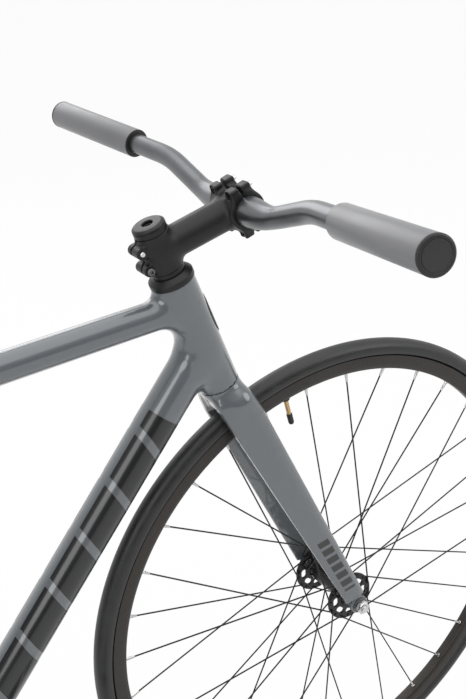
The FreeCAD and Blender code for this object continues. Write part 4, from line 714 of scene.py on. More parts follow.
def curvedPlate():
    points = []
    for radius in (plate.radius, tubes.head - 0.6):
        for row in np.linspace(-1, 1, plate.rows):
            half = plate.halfAngle * (1 - abs(row) ** 3.2 * 0.97)
            for column in np.linspace(-1, 1, plate.columns):
                lean = math.radians(half * column)
                reach = radius - 0.35 * max(abs(row), abs(column)) ** 8
                height = plate.middle + row * plate.halfHigh
                points.append(steerPoint(height, reach * math.cos(lean), reach * math.sin(lean)))
    faces = []
    wide = plate.columns
    count = wide * plate.rows
    for row, column in itertools.product(range(plate.rows - 1), range(wide - 1)):
        k = row * wide + column
        faces.append((k, k + 1, k + wide + 1, k + wide))
        faces.append((count + k, count + k + wide, count + k + wide + 1, count + k + 1))
    rim = list(range(wide)) + [row * wide + wide - 1 for row in range(1, plate.rows)]
    rim += list(range(count - 2, count - wide - 1, -1)) + [row * wide for row in range(plate.rows - 2, 0, -1)]
    for k, n in zip(rim, rim[1:] + rim[:1]):
        faces.append((n, k, count + k, count + n))
    return np.array(points), faces


makePiece("head_plate", curvedPlate(), "black", "frame")

# brake bridge between the seat stays, drilled for a bolt
bridge = Settings(reach=360.0, radius=7.0, half=31.0, hole=3.2, boss=6.9, bossHalf=9.0, pitch=0.8)
bridgePoint = rearAxle + seatStayAhead * bridge.reach
bridgeAcross = np.array((-seatStayAhead[2], 0, seatStayAhead[0]))


def bridgeField(points):
    reach = leftWay * bridge.half
    bar = rodField(points, bridgePoint - reach, bridgePoint + reach, bridge.radius)
    bar = joined(bar, acrossDrum(points, bridgePoint, bridge.bossHalf, bridge.boss, 1.5), 3)
    hole = rodField(points, bridgePoint - bridgeAcross * 30, bridgePoint + bridgeAcross * 30, bridge.hole)
    return carved(bar, hole, 0.8)


bridgeReach = np.array((12, 40, 12))
bridgeSkin = skin(bridgeField, bridgePoint - bridgeReach, bridgePoint + bridgeReach, bridge.pitch)
makePiece("brake_bridge", bridgeSkin, "frame", "frame")

# fork: crown and two blades with a rounded nose, broad flanks and a flat tail
fork = Settings(
    offset=32.0, crownHeight=24.0, crownHalf=33.0, crownDeep=20.0, arch=17.2, archHeight=325,
    chord=44.0, tipChord=28.0, thick=19.0, tipThick=11.0, tail=0.45, widest=0.18, spread=27.5, tipSide=53.5,
    endRadius=12.0, endThick=7.0, hole=3.2, holeHeight=357, slot=4.55, blend=11.0, pitch=1.3,
)
bladeHeights = (22.1, 325.8, 359.4)


def bladeField(points):
    ahead, aside, height = steerLocal(points)
    ahead = ahead - fork.offset * (1 - height / steerer.crownTop)
    side = np.interp(height, bladeHeights, (fork.tipSide, fork.spread, fork.spread * 0.72))
    chord = np.interp(height, bladeHeights, (fork.tipChord, fork.chord, fork.chord * 0.92))
    half = np.interp(height, bladeHeights, (fork.tipThick, fork.thick, fork.thick)) / 2
    across = np.abs(np.abs(aside) - side)
    nose = chord / 2
    widest = chord * fork.widest
    along = ahead - widest
    length = nose - widest
    front = (np.sqrt((along / length) ** 2 + (across / half) ** 2) - 1) * np.minimum(half, length)
    lean = half * (1 - fork.tail) / (widest + nose)
    flank = (across - half - lean * along) / np.sqrt(1 + lean ** 2)
    share = smoothStep((along + 7) / 11)
    body = carved(front * share + flank * (1 - share), ahead + nose, 2.4)
    body = carved(body, steerer.crownTop - 8 - height, 16)
    return np.maximum(body, bladeHeights[0] - height - 8)


def forkField(points):
    sides = mirrorSides(points)
    ahead, aside, height = steerLocal(points)
    ahead = ahead - fork.offset * (1 - height / steerer.crownTop)
    share = smoothStep((steerer.crownTop - height) / fork.crownHeight)
    wide = tubes.head + (fork.crownHalf - tubes.head) * share
    deep = tubes.head + (fork.crownDeep - tubes.head) * share
    crown = (np.sqrt((aside / wide) ** 2 + (ahead / deep) ** 2) - 1) * np.minimum(wide, deep)
    arch = rodField(points, steerPoint(fork.archHeight, -60), steerPoint(fork.archHeight, 80), fork.arch)
    foot = height - steerer.crownTop + fork.crownHeight * 1.5
    crown = carved(carved(crown, foot, 14), arch, 5)
    whole = joined(crown, bladeField(points), fork.blend)
    inner = fork.tipSide - fork.endThick / 2
    tip = frontAxle + leftWay * inner
    end = drumField(sides, tip, tip + leftWay * fork.endThick, fork.endRadius, 0.8)
    whole = joined(whole, end, 5)
    flat = sides * (1, 0, 1)
    around = np.linalg.norm(flat - frontAxle, axis=1)
    slot = rodField(flat, frontAxle - steerUp * 30, frontAxle, fork.slot)
    whole = np.where(around < 34, np.maximum(whole, -slot), whole)
    faces = np.maximum(sides[:, 1] - fork.tipSide - fork.endThick / 2, inner - sides[:, 1])
    whole = np.where(around < 14, np.maximum(whole, faces), whole)
    hole = rodField(points, steerPoint(fork.holeHeight, -60), steerPoint(fork.holeHeight, 60), fork.hole)
    return np.maximum(carved(whole, hole, 1), height - steerer.crownTop)


forkSkin = skin(forkField, (frontAxle[0] - 175, -61, frontAxle[2] - 16),
                (frontAxle[0] + 26, 61, headLow[2] + 12), fork.pitch)
makePiece("fork_skin", forkSkin, "fork", "front_end", ("fork",))
print("fork skin", len(forkSkin[0]), "points")

# headset and top cap, turned about the steerer
headset = Settings(
    cover=[(14.4, 0.5), (23.3, 0.5, 0), (23.3, -1.3, 0.2), (24.0, -1.3, 0.3), (24.0, 4.5), (18.6, 9.5),
           (14.4, 9.5)],
    spacer=[(14.4, 0.1), (17.4, 0.1), (17.4, 4.9), (14.4, 4.9)],
    cap=[(16.6, 0.1, 0), (17.4, 0.6), (17.5, 1.2), (17.5, 5.6, 0.3), (16.7, 5.9, 0.2), (16.7, 6.4, 0.2),
         (17.4, 6.7, 0.3), (17.3, 8.0, 0.8), (14.6, 9.8, 0.8), (6.4, 10, 0.4), (5.7, 9.4, 0.3),
         (5.5, 4.8, 0.3), (0.05, 4.6, 0)],
)
stemTop = steerPoint(steerer.stemTop)
spacerFoot = steerPoint(steerer.coverTop)
makePiece("headset_cover_turned", turned(headset.cover, 0.7, 72, headHigh, steerUp), "black", "front_end",
          ("headset_cover",))
makePiece("spacer_ring", turned(headset.spacer, 0.6, 64, spacerFoot, steerUp), "black", "front_end",
          ("headset_spacer",))
makePiece("top_cap_turned", turned(headset.cap, 0.5, 64, stemTop, steerUp, False), "black", "front_end",
          ("top_cap",))
makePiece("top_cap_bolt", capBolt(stemTop + steerUp * 4.5, steerUp, 4.9, 2.8, 3.0), "spoke", "front_end")

# stem: steerer clamp, extension and bar clamp in one forging, then its faceplate and bolts
stem = Settings(
    clamp=18.0, tube=16.9, barClamp=20.4, width=44.0, gap=1.5, ear=6.4, earHalf=10.2, earLevel=17.0,
    earSpread=15.2, earDepth=11.0, boltHeight=22.4, sink=4.1, bore=16.2, steererBore=14.6, lug=6.0,
    lugHalf=11.0, lugShare=10.1, slit=1.1, slitStart=12, wave=3.4, waveLength=42, play=0.1,
    window=(14, 9.4, 10.5), pitch=0.9,
)
earBack = stem.gap + stem.earDepth


def barEars(points):
    # mirrors all four ears onto the upper left one
    level = (points - barPoint) @ steerUp
    return mirrorSides(points) + np.outer(np.abs(level) - level, steerUp)


def barClampField(points, sense):
    bar = acrossDrum(points, barPoint, stem.width / 2, stem.barClamp, 1.2)
    depth = stem.earDepth / 2
    centre = barPoint + steerAhead * sense * (stem.gap + depth)
    centre = centre + leftWay * stem.earSpread + steerUp * stem.earLevel
    ear = boxField(barEars(points), centre, (depth, stem.ear, stem.earHalf), steerWays, 2.2)
    return joined(bar, ear, 6)


def lugPoint(sense):
    return steerPoint(stemMiddle + sense * stem.lugShare, -stem.clamp - stem.lug * 0.45)


def barBore(points):
    return rodField(points, barPoint - leftWay * 60, barPoint + leftWay * 60, stem.bore)


def stemField(points):
    clampLow = steerer.spacerTop + stem.play
    clampHigh = steerer.stemTop - stem.play / 2
    clamp = drumField(points, steerPoint(clampLow), steerPoint(clampHigh), stem.clamp, 1)
    tube = rodField(points, steerPoint(stemMiddle), barPoint - steerAhead * 8, stem.tube, stem.tube + 0.4)
    whole = joined(joined(clamp, tube, 7), barClampField(points, -1), 8)
    spot = barPoint + leftWay * stem.earSpread + steerUp * stem.boltHeight
    sink = drumField(barEars(points), spot - steerAhead * (earBack - 3.4), spot - steerAhead * (earBack + 20),
                     stem.sink, 0.2)
    whole = carved(whole, sink, 0.5)
    for sense in (1, -1):
        whole = joined(whole, acrossDrum(points, lugPoint(sense), stem.lugHalf, stem.lug, 1), 5)
    ahead, aside, height = steerLocal(points)
    wave = stem.wave * np.sin((height - stemMiddle) / stem.waveLength * 2 * math.pi)
    whole = carved(whole, np.maximum(np.abs(aside - wave) - stem.slit, ahead + stem.slitStart), 0.8)
    whole = np.maximum(whole, ahead - steerer.stemLength + stem.gap)
    steererBore = rodField(points, steerPoint(500), steerPoint(600), stem.steererBore)
    whole = np.maximum(np.maximum(whole, -barBore(points)), -steererBore)
    return np.where(ahead < 30, np.maximum(whole, np.maximum(clampLow - height, height - clampHigh)), whole)


def faceplateField(points):
    window = boxField(points, barPoint + steerAhead * 20, stem.window, steerWays, 3)
    plain = np.maximum(carved(barClampField(points, 1), window, 1.5), -barBore(points))
    return np.maximum(plain, stem.gap - (points - barPoint) @ steerAhead)


stemLow = np.minimum(steerPoint(stemMiddle), barPoint) - 48
stemHigh = np.maximum(steerPoint(stemMiddle), barPoint) + 48
stemSkin = skin(stemField, (stemLow[0], -26, stemLow[2]), (stemHigh[0], 26, stemHigh[2]), stem.pitch)
faceplateSkin = skin(faceplateField, barPoint - (30, 26, 36), barPoint + (40, 26, 40), stem.pitch)
makePiece("stem_forging", stemSkin, "black", "front_end", ("stem",))
makePiece("stem_faceplate_forging", faceplateSkin, "black", "front_end", ("stem_faceplate",))
bolts = []
barBolts = []
tips = []
for sense, level in itertools.product((1, -1), (1, -1)):
    spot = barPoint + leftWay * sense * stem.earSpread + steerUp * level * stem.boltHeight
    barBolts.append(capBolt(spot - steerAhead * (earBack - 3.5), -steerAhead, 3.9, 2.6, 2.1))
    tips.append(lathe([(2.6, 0), (2.6, 3.4), (2.0, 4.2), (0.05, 4.2)], 20,
                      spot + steerAhead * (earBack - 0.2), steerAhead, closed=False))
for sense in (1, -1):
    out = leftWay * sense
    reach = out * (stem.lugHalf - 0.2)
    bolts.append(capBolt(lugPoint(sense) + reach, out, 4.0, 3.4, 2.0))
    tips.append(lathe([(2.7, 0), (2.7, 1.0), (2.1, 1.6), (0.05, 1.6)], 20, lugPoint(sense) - reach, -out,
                      closed=False))
makePiece("stem_bolts", gathered(bolts), "darkSteel", "front_end")
makePiece("bar_clamp_bolts", gathered(barBolts), "spoke", "front_end")
makePiece("stem_bolt_tips", gathered(tips), "steel", "front_end")
print("stem and headset")

# handlebar with tapers and bends, then grips, collars and end caps
bar = Settings(
    clampRadius=15.9, radius=11.1, centreHalf=24.0, taper=52.0, straight=58.3, bend=(-1.8, 136.8, 27.0),
    end=(-42.5, 341.0, 51.5), bendRadius=130.0, gripLength=149.0, gripRadius=16.2, collar=3.0,
    collarRadius=15.9,
)


def barSpot(ahead, reach, rise, side):
    return barPoint + np.array((ahead, reach * side, rise))


def barHalf(side):
    # points from the middle to one end, a few millimetres apart
    corners = [barSpot(0, 8, 0, side), barSpot(0, bar.straight, 0, side), barSpot(*bar.bend, side),
               barSpot(*bar.end, side)]
    path = bentPath(corners, bar.bendRadius, 15)
    dense = [path[0]]
    for start, finish in zip(path, path[1:]):
        steps = max(1, round(np.linalg.norm(finish - start) / 5))
        dense += [start + (finish - start) * k / steps for k in range(1, steps + 1)]
    return dense


barPath = np.array(barHalf(-1)[::-1] + barHalf(1))
narrowed = smoothStep((np.abs(barPath[:, 1]) - bar.centreHalf) / bar.taper)
barRadii = bar.clampRadius + (bar.radius - bar.clampRadius) * narrowed
makePiece("handlebar_tube", sweep(barPath, barRadii, 40), "bar", "front_end", ("handlebar",), 60)
grips = []
collars = []
caps = []
capDiscs = []
for side in (-1, 1):
    end = barSpot(*bar.end, side)
    axis = unit(end - barSpot(*bar.bend, side))
    last = bar.gripLength
    start = end - axis * last
    first = bar.collar
    inner = bar.radius + 0.05
    outer = bar.gripRadius
    wide = bar.collarRadius
    grips.append(turned([(wide + 0.05, 0.9), (outer, 0.9, 0.2), (outer, last - 0.1), (inner, last - 0.1),
                         (inner, first + 0.1), (wide + 0.05, first + 0.1)], 0.4, 64, start, axis))
    collars.append(turned([(inner, 0), (wide, 0), (wide, first), (inner, first)], 0.4, 64, start, axis))
    caps.append(turned([(outer - 0.3, 0, 0), (outer + 0.1, 0.4), (outer + 0.1, 1.7), (outer - 1.5, 2.9, 1.2),
                        (13.2, 2.9, 0.4), (12.7, 2.3, 0.3), (12.6, 2.2, 0), (0.05, 2.2, 0)],
                       0.3, 64, start + axis * last, axis, False))
    capDiscs.append(turned([(12.4, 2.0, 0), (12.4, 2.45, 0.2), (11.6, 2.6, 0.3), (4, 2.75, 0.4),
                            (0.05, 2.8, 0)], 0.3, 56, start + axis * last, axis, False))
makePiece("grip_sleeves", gathered(grips), "grip", "front_end", ("grips",))
makePiece("grip_inner_rings", gathered(collars), "plastic", "front_end", ("grip_collars",))
makePiece("grip_caps", gathered(caps), "plastic", "front_end", ("grip_end_caps",))
makePiece("grip_cap_discs", gathered(capDiscs), "disc", "front_end")
print("handlebar and grips")

# wheels: tyre, rim, crossed spokes with elbows, nipples, valve and hub
wheel = Settings(
    radius=336.0, section=12.5, rimEdge=317.0, seat=311.0, rimFace=298.5, rimHalf=10.0, faceHalf=6.5,
    shoulder=8.8, wall=1.9, steps=200, spokes=32, crosses=3, spoke=0.95, flange=32.5, holes=29.4,
    flangeHalf=1.5, hubBody=13.5, hubWaist=1.2, boss=14.0, openings=8, openingRing=21.4,
    openingLength=6.2, openingWidth=3.6, openingDeep=9, bearing=4.4, valveReach=38.0, pitch=0.8,
    spokeHead=[(1.7, 0), (1.9, -0.35), (1.5, -0.9), (0.05, -1.1)],
    nipple=[(1.15, -12), (1.55, -11.6), (1.6, -8), (1.95, -6.5), (1.95, -1.6), (2.6, -0.9), (2.6, 0.5),
            (0.05, 0.6)],
    carrier=(20.0, 36.5, 4.0), cogSeat=(17.3, 42, 5.9),
)
ends = {
    "front": Settings(axle=frontAxle, spread=35.0, half=42.0, valve=101.0, bore=4.6),
    "rear": Settings(axle=rearAxle, spread=31.0, half=48.0, valve=60.0, bore=5.1),
}


def polar(radius, degrees, height, axle, valveWay):
    angle = math.radians(degrees)
    upward = np.cross(leftWay, valveWay)
    return axle + (valveWay * math.cos(angle) + upward * math.sin(angle)) * radius + leftWay * height


def spokeLines(end, valveWay):
    perSide = wheel.spokes // 2
    step = 360 / perSide
    lean = wheel.crosses * step
    aside = wheel.flangeHalf + wheel.spoke + 0.02
    origin = np.zeros(3)
    run = polar(wheel.rimFace, lean, 0, origin, forwardWay) - polar(wheel.holes, 0, 0, origin, forwardWay)
    length = np.linalg.norm(run)
    inward = wheel.holes * run[0] / length
    edgeRun = math.sqrt(inward ** 2 + wheel.flange ** 2 - wheel.holes ** 2) - inward
    lift = (end.spread + aside) / length * (edgeRun + 2 * wheel.spoke)
    for side, index in itertools.product((-1, 1), range(perSide)):
        hubAngle = (index + (0.75 if side < 0 else 0.25)) * step
        outward = -1 if index % 2 else 1
        flange = side * end.spread
        height = flange + (aside + (lift if outward == side else 0)) * outward
        hub = polar(wheel.holes, hubAngle, height, end.axle, valveWay)
        head = polar(wheel.holes, hubAngle, flange - outward * (wheel.flangeHalf + 0.1), end.axle, valveWay)
        rim = polar(wheel.rimFace - 0.35, hubAngle + lean * outward, 0, end.axle, valveWay)
        yield hub, head, rim, leftWay * outward


def discField(around, level, radius, middle, half):
    return np.maximum(around - radius, np.abs(level - middle) - half)


def hubField(end, rear):
    def field(points):
        local = points - end.axle
        height = local[:, 1]
        level = np.abs(height)
        around = np.hypot(local[:, 0], local[:, 2])
        share = np.clip(height / end.spread, -1, 1)
        waist = wheel.hubBody - wheel.hubWaist * np.cos(share * math.pi / 2) ** 2
        body = np.maximum(around - waist, level - end.half + 0.1)
        whole = joined(body, discField(around, level, wheel.flange, end.spread, wheel.flangeHalf), 4.5)
        sector = 2 * math.pi / wheel.openings
        bent = (np.arctan2(local[:, 2], local[:, 0]) + sector / 2) % sector - sector / 2
        out = around * np.cos(bent) - wheel.openingRing
        across = np.maximum(np.abs(around * np.sin(bent)) - (wheel.openingLength - wheel.openingWidth), 0)
        opening = np.hypot(out, across) - wheel.openingWidth
        nearFlange = np.abs(level - end.spread) < wheel.openingDeep
        whole = carved(whole, np.where(nearFlange, opening, 50), 0.7)
        middle = (end.spread + end.half) / 2
        whole = joined(whole, discField(around, level, wheel.boss, middle, end.half - middle), 1.5)
        if rear:
            whole = joined(whole, discField(around, -height, *wheel.carrier), 1.0)
            whole = np.minimum(whole, discField(around, -height, *wheel.cogSeat))
        return np.maximum(whole, np.maximum(level - end.half + 0.1, end.bore + wheel.bearing - around))
    return field


def buildWheel(which, body):
    end = ends[which]
    axle = end.axle
    angle = math.radians(end.valve)
    valveWay = np.array((math.cos(angle), 0, math.sin(angle)))
    edge = wheel.rimEdge
    face = wheel.rimFace
    seat = wheel.seat
    inner = wheel.rimHalf - wheel.wall
    inside = inner - 0.05
    bead = [(edge + 1.6, inside + 1.0), (edge + 0.3, inside + 0.2), (edge - 1, inside),
            (seat + 0.1, inside - 0.4)]
    tyre = arc(wheel.section, -110, 110, 33, wheel.radius - wheel.section) + bead
    tyre += [(radius, -aside) for radius, aside in bead[::-1]]
    makePiece(which + "_tyre_casing", lathe(tyre, wheel.steps, axle, leftWay, valveWay), "tyre", body,
              (which + "_tyre",), 50)
    rim = [(face, -wheel.faceHalf, 2.2), (face + 5, -wheel.shoulder, 2), (edge, -wheel.rimHalf, 0.5),
           (edge, -inner, 0.5), (seat, -inner, 0.4)]
    rim += [(radius, -aside, ease) for radius, aside, ease in rim[::-1]]
    makePiece(which + "_rim_hoop", turned(rim, 0, wheel.steps, axle, leftWay, start=valveWay), "rim", body,
              (which + "_rim",), 46)
    spokes = []
    nipples = []
    for hub, head, rimEnd, out in spokeLines(end, valveWay):
        along = unit(rimEnd - hub)
        path = [head - out * 0.5, head + out * 0.4, hub - out * 0.9, hub + along * 0.8, hub + along * 2.2,
                rimEnd - along * 9]
        spokes.append(sweep(path, wheel.spoke, 8))
        spokes.append(lathe(wheel.spokeHead, 10, head - out * 0.05, out, closed=False))
        nipples.append(lathe(wheel.nipple, 10, rimEnd, along, closed=False))
    makePiece(which + "_spoke_set", gathered(spokes), "spoke", body, (which + "_spokes",))
    makePiece(which + "_nipple_set", gathered(nipples), "steel", body, (which + "_nipples",))
    foot = face - wheel.valveReach
    valve = [(2.2, foot + 13), (2.7, foot + 14), (2.7, seat - 0.5), (2.2, seat - 0.4)]
    collar = [(2.75, face - 3.4), (5.0, face - 3.2), (5.4, face - 1.4), (5.4, face - 0.15),
              (2.75, face - 0.15)]
    cap = [(0.05, foot, 0), (2.3, foot + 0.1, 0.8), (3.4, foot + 2.2, 0.8), (3.5, foot + 14.4, 0.6),
           (2.75, foot + 15, 0)]
    makePiece(which + "_valve_stem", turned(valve, 0.3, 24, axle, valveWay), "brass", body,
              (which + "_valve",))
    trim = [turned(collar, 0.5, 32, axle, valveWay), turned(cap, 0.4, 24, axle, valveWay, False)]
    makePiece(which + "_valve_trim", gathered(trim), "plastic", body)
    reach = np.array((wheel.flange + 3, end.half + 3, wheel.flange + 3))
    hubSkin = skin(hubField(end, which == "rear"), axle - reach, axle + reach, wheel.pitch)
    makePiece(which + "_hub_body", hubSkin, "hub", body, (which + "_hub_shell",))
    seal = [(end.bore + 0.1, 0), (end.bore + 5.0, 0), (end.bore + 5.0, 1.0), (end.bore + 0.1, 1.0)]
    seals = [turned(seal, 0.25, 40, axle + out * (end.half - 1.2), out) for out in (-leftWay, leftWay)]
    makePiece(which + "_hub_seals", gathered(seals), "satin", body)


buildWheel("front", "front_wheel")
buildWheel("rear", "rear_wheel")
print("wheels")

# axle nuts with rounded corners, each on a dark washer
nuts = Settings(washer=10.0, washerHigh=1.6, flats=7.5, high=8.0)


def axleNut(point, axis, bore):
    corner = nuts.flats / math.cos(math.pi / 6)
    low = nuts.washerHigh
    top = low + nuts.high
    profile = [(bore, low), (corner - 0.2, low), (corner, low + 0.3), (corner, top - 1.3),
               (corner - 0.25, top - 1.0), (nuts.flats - 0.3, top), (bore + 0.5, top), (bore, top - 0.5)]
    return lathe(profile, 48, point, axis, hexRows=(1, 2, 3, 4))


for which, body, side, bore in (("front", "front_end", 57.0, 4.52), ("rear", "frame", 66.5, 5.02)):
    high = nuts.washerHigh - 0.04
    washer = [(bore, 0), (nuts.washer, 0), (nuts.washer, high), (bore, high)]
    pair = []
    washers = []
    for out in (-leftWay, leftWay):
        seat = ends[which].axle + out * (side + 0.02)
        pair.append(axleNut(seat, out, bore))
        washers.append(turned(washer, 0.35, 48, seat, out))
    makePiece(which + "_nut_pair", gathered(pair), "steel", body, (which + "_axle_nuts",))
    makePiece(which + "_nut_washers", gathered(washers), "darkSteel", body)

# chain: waisted plates, rollers and pins on every link
chain = Settings(
    pitch=12.7, ring=48, cog=16, ringWrap=27, cogWrap=7, line=42.0, roller=3.85, inner=1.75, plate=1.2,
    half=4.2, waist=3.1, pin=1.85,
)


def wrapped(centre, teeth, count, way):
    # pins that lie on a sprocket
    radius = chain.pitch / (2 * math.sin(math.pi / teeth))
    upward = np.array((-stayAhead[2], 0, stayAhead[0]))
    turns = way * np.radians((count / 2 - np.arange(count + 1)) * 360 / teeth)
    ways = np.outer(np.cos(turns), stayAhead * way) + np.outer(np.sin(turns), upward)
    return list(centre + radius * ways)


def chainPins():
    onRing = wrapped(bracket, chain.ring, chain.ringWrap, 1)
    onCog = wrapped(rearAxle, chain.cog, chain.cogWrap, -1)
    runs = round(np.linalg.norm(onCog[0] - onRing[-1]) / chain.pitch)
    lower = [onRing[-1] + (onCog[0] - onRing[-1]) * k / runs for k in range(1, runs)]
    upper = [onCog[-1] + (onRing[0] - onCog[-1]) * k / runs for k in range(1, runs)]
    return [pin - leftWay * chain.line for pin in onRing + lower + onCog + upper]


def rodProfile(radius, reach, ease):
    return [(radius - ease, -reach), (radius, 0.3 - reach), (radius, reach - 0.3), (radius - ease, reach)]


plateOutline = arc(chain.half, -90, 90, 7, chain.pitch) + [(chain.pitch / 2, chain.waist)]
plateOutline += arc(chain.half, 90, 270, 7) + [(chain.pitch / 2, -chain.waist)]
rollerProfile = rodProfile(chain.roller, chain.inner - 0.05, 0.3)
pinProfile = rodProfile(chain.pin, chain.inner + 2 * chain.plate + 0.5, 0.4)
plates = []
rollers = []
pins = chainPins()
for index, (pin, after) in enumerate(zip(pins, pins[1:] + pins[:1])):
    along = unit(after - pin)
    upward = np.cross(along, leftWay)
    low = chain.inner + (chain.plate + 0.1 if index % 2 else 0)
    for side in (-1, 1):
        plates.append(slab(plateOutline, low, low + chain.plate, 0.2, pin, along, upward * side,
                           leftWay * side))
    rollers.append(lathe(rollerProfile, 14, pin, leftWay, closed=False))
    rollers.append(lathe(pinProfile, 10, pin, leftWay, closed=False))
makePiece("chain_plates", gathered(plates), "darkSteel", "frame", ("chain",))
makePiece("chain_rollers", gathered(rollers), "steel", "frame")
print("chain", len(pins), "links")

# cranks: boss, tapering arm and pedal eye; the right one carries a five-armed spider
crank = Settings(
    length=165.0, inner=38.0, outer=57.0, boss=17.0, width=11.0, endWidth=9.0, thick=6.0, flare=12.0,
    eye=13.0, edge=3.2, square=6.4, cup=11, arms=5, armHalf=7.5, armThick=5.0, bolts=72.0,
    seatAside=1.47, hub=30, squareDeep=6, grooveStart=34, grooveEnd=30, groove=5.5, grooveTip=5.0, pitch=1.5,
)


def armWay(index):
    turn = 2 * math.pi * (index + 0.5) / crank.arms
    return np.array((math.cos(turn), 0, math.sin(turn)))


def spiderArm(local, way, depth):
    # tapering arm with a round tip
    run = local @ way
    across = np.abs(local @ np.cross(way, leftWay))
    taper = crank.armHalf * (1.35 - 0.35 * np.clip(run / crank.bolts, 0, 1))
    tip = np.hypot(np.maximum(run - crank.bolts, 0), across) - crank.armHalf
    flat = np.where(run > crank.bolts, tip, np.where(run > 0, across - taper, 50))
    return carved(flat, -depth, 2.0)


def crankField(side, spider):
    out = leftWay * side
    way = forwardWay * -side
    eye = bracket + way * crank.length
    eyeOuter = crank.outer + crank.flare
    seat = chain.line + crank.seatAside

    def field(points):
        local = points - bracket
        along = local @ way
        level = local @ out
        boss = drumField(points, bracket + out * crank.inner, bracket + out * crank.outer, crank.boss, 1.4)
        end = drumField(points, eye + out * (eyeOuter - 2 * crank.thick), eye + out * eyeOuter, crank.eye,
                        1.4)
        share = np.clip(along / crank.length, 0, 1)
        half = crank.width + (crank.endWidth - crank.width) * share
        depth = np.abs(level - (crank.outer - crank.thick + crank.flare * share)) - crank.thick
        arm = roundedMeet(np.abs(local[:, 2]) - half, depth, crank.edge)
        arm = np.maximum(arm, np.maximum(-along, along - crank.length))
        whole = joined(joined(boss, arm, 6), end, 5)
        grooveFoot = bracket + way * crank.grooveStart + out * (crank.outer + 5)
        grooveTip = eye - way * crank.grooveEnd + out * (eyeOuter + 3.6)
        groove = rodField(points, grooveFoot, grooveTip, crank.groove, crank.grooveTip)
        whole = carved(whole, groove, 1.5)
        if spider:
            depth = np.abs(level - seat - crank.armThick / 2) - crank.armThick / 2
            for index in range(crank.arms):
                whole = joined(whole, spiderArm(local, armWay(index), depth), 4)
            around = np.hypot(local[:, 0], local[:, 2])
            whole = np.where(around > crank.hub, np.maximum(whole, seat - level), whole)
        square = np.maximum(np.abs(local[:, 0]), np.abs(local[:, 2])) - crank.square
        whole = np.maximum(whole, -np.maximum(square, level - crank.outer + crank.squareDeep))
        cup = rodField(points, bracket + out * (crank.outer - 2), bracket + out * (crank.outer + 20),
                       crank.cup)
        return np.maximum(carved(whole, cup, 1.0), crank.inner - level)
    return field


for which, side, back, front, deep in (("crank_right", -1, 88, 185, 88), ("crank_left", 1, 185, 30, 24)):
    low, high = sorted((side * 36, side * 72))
    crankSkin = skin(crankField(side, side < 0), (bracket[0] - back, low, bracket[2] - deep),
                     (bracket[0] + front, high, bracket[2] + deep), crank.pitch)
    makePiece(which + "_forging", crankSkin, "crank", "crankset", (which,))
crankBolts = [capBolt(bracket + out * (crank.outer - 5.5), out, 9.5, 4.5, 4.2, 36)
              for out in (-leftWay, leftWay)]
makePiece("crank_bolts", gathered(crankBolts), "darkSteel", "crankset")
ringBolts = []
for index in range(crank.arms):
    spot = bracket + crank.bolts * armWay(index)
    ringBolts.append(capBolt(spot - leftWay * (chain.line + 6.4), -leftWay, 4.8, 1.4, 2.4))
    ringBolts.append(capBolt(spot - leftWay * (chain.line - 1.5), leftWay, 5.0, 1.4, 2.6))
makePiece("chainring_bolts", gathered(ringBolts), "steel", "crankset")
print("cranks")

# pedals: cage with concave faces, barrel and grip studs
pedal = Settings(
    half=42.0, wide=92.0, thick=8.0, dish=1.6, bar=10.0, barrel=11.5, bore=7.4, windowAhead=22.6,
    windowHalf=9.2, pitch=1.4, studAcross=(-34, -12, 12, 34), studAlong=(-37.2, 37.2),
    stud=[(1.9, 0), (1.9, 1.6), (1.4, 2.6), (0.05, 2.6)],
)


def pedalField(point, out):
    half = pedal.wide / 2
    ways = (forwardWay, out, upWay)

    def field(points):
        local = points - point
        dish = pedal.thick - pedal.dish * (1 - np.clip(np.abs(local[:, 0]) / pedal.half, 0, 1) ** 2)
        outline = boxField(local, 0, (pedal.half, half, 40), ways, 13)
        body = carved(outline, dish - np.abs(local[:, 2]), 2.5)
        ahead = np.column_stack([np.abs(local[:, 0]), local[:, 1:]])
        window = boxField(ahead, forwardWay * pedal.windowAhead,
                          (pedal.windowHalf, half - pedal.bar, 40), ways, 5)
        body = carved(body, window, 1.6)
        body = joined(body, acrossDrum(local, 0, half - 0.3, pedal.barrel, 1.5), 4)
        bore = rodField(local, out * -90, out * (half - 8), pedal.bore)
        return np.maximum(body, -np.maximum(bore, local @ out - half + 4))
    return field


for which, side in (("pedal_right", -1), ("pedal_left", 1)):
    middle = jointPoint(which + "_spin")
    out = leftWay * side
    reach = np.array((pedal.half + 3, pedal.wide / 2 + 3, pedal.barrel + 3))
    cage = skin(pedalField(middle, out), middle - reach, middle + reach, pedal.pitch)
    makePiece(which + "_cage", cage, "plastic", which, (which,))
    studs = []
    for across, level, along in itertools.product(pedal.studAcross, (-1, 1), pedal.studAlong):
        foot = middle + out * across + forwardWay * along + upWay * level * (pedal.thick - 1.2)
        studs.append(lathe(pedal.stud, 12, foot, upWay * level, closed=False))
    makePiece(which + "_studs", gathered(studs), "darkSteel", which)
print("pedals")

# seatpost with a forged head, and the two plates that hold the saddle rails
post = Settings(
    radius=13.6, insert=135.0, drop=40.0, head=(19.0, 17.0, 13.0), seat=30.0, plateLength=17.0,
    plateWidth=28.0, plateTop=3.0, cradle=12.0, plateGap=0.5, railDrop=12.0, railSide=22.0,
    railGroove=3.6, dish=14, boltAhead=10.5, pitch=1.3, clampPitch=0.9,
)
postTop = saddlePivot - upWay * post.drop
postFoot = seatTop - seatUp * post.insert


def alongRod(points, centre, radius):
    return rodField(points, centre - forwardWay * 40, centre + forwardWay * 40, radius)


def postField(points):
    tube = drumField(points, postFoot, postTop, post.radius, 0.6)
    head = boxField(points, postTop + upWay * 3, post.head, squareWays, 5)
    return carved(joined(tube, head, 9), acrossDrum(points, saddlePivot, 60, post.seat, 0.1), 0.8)


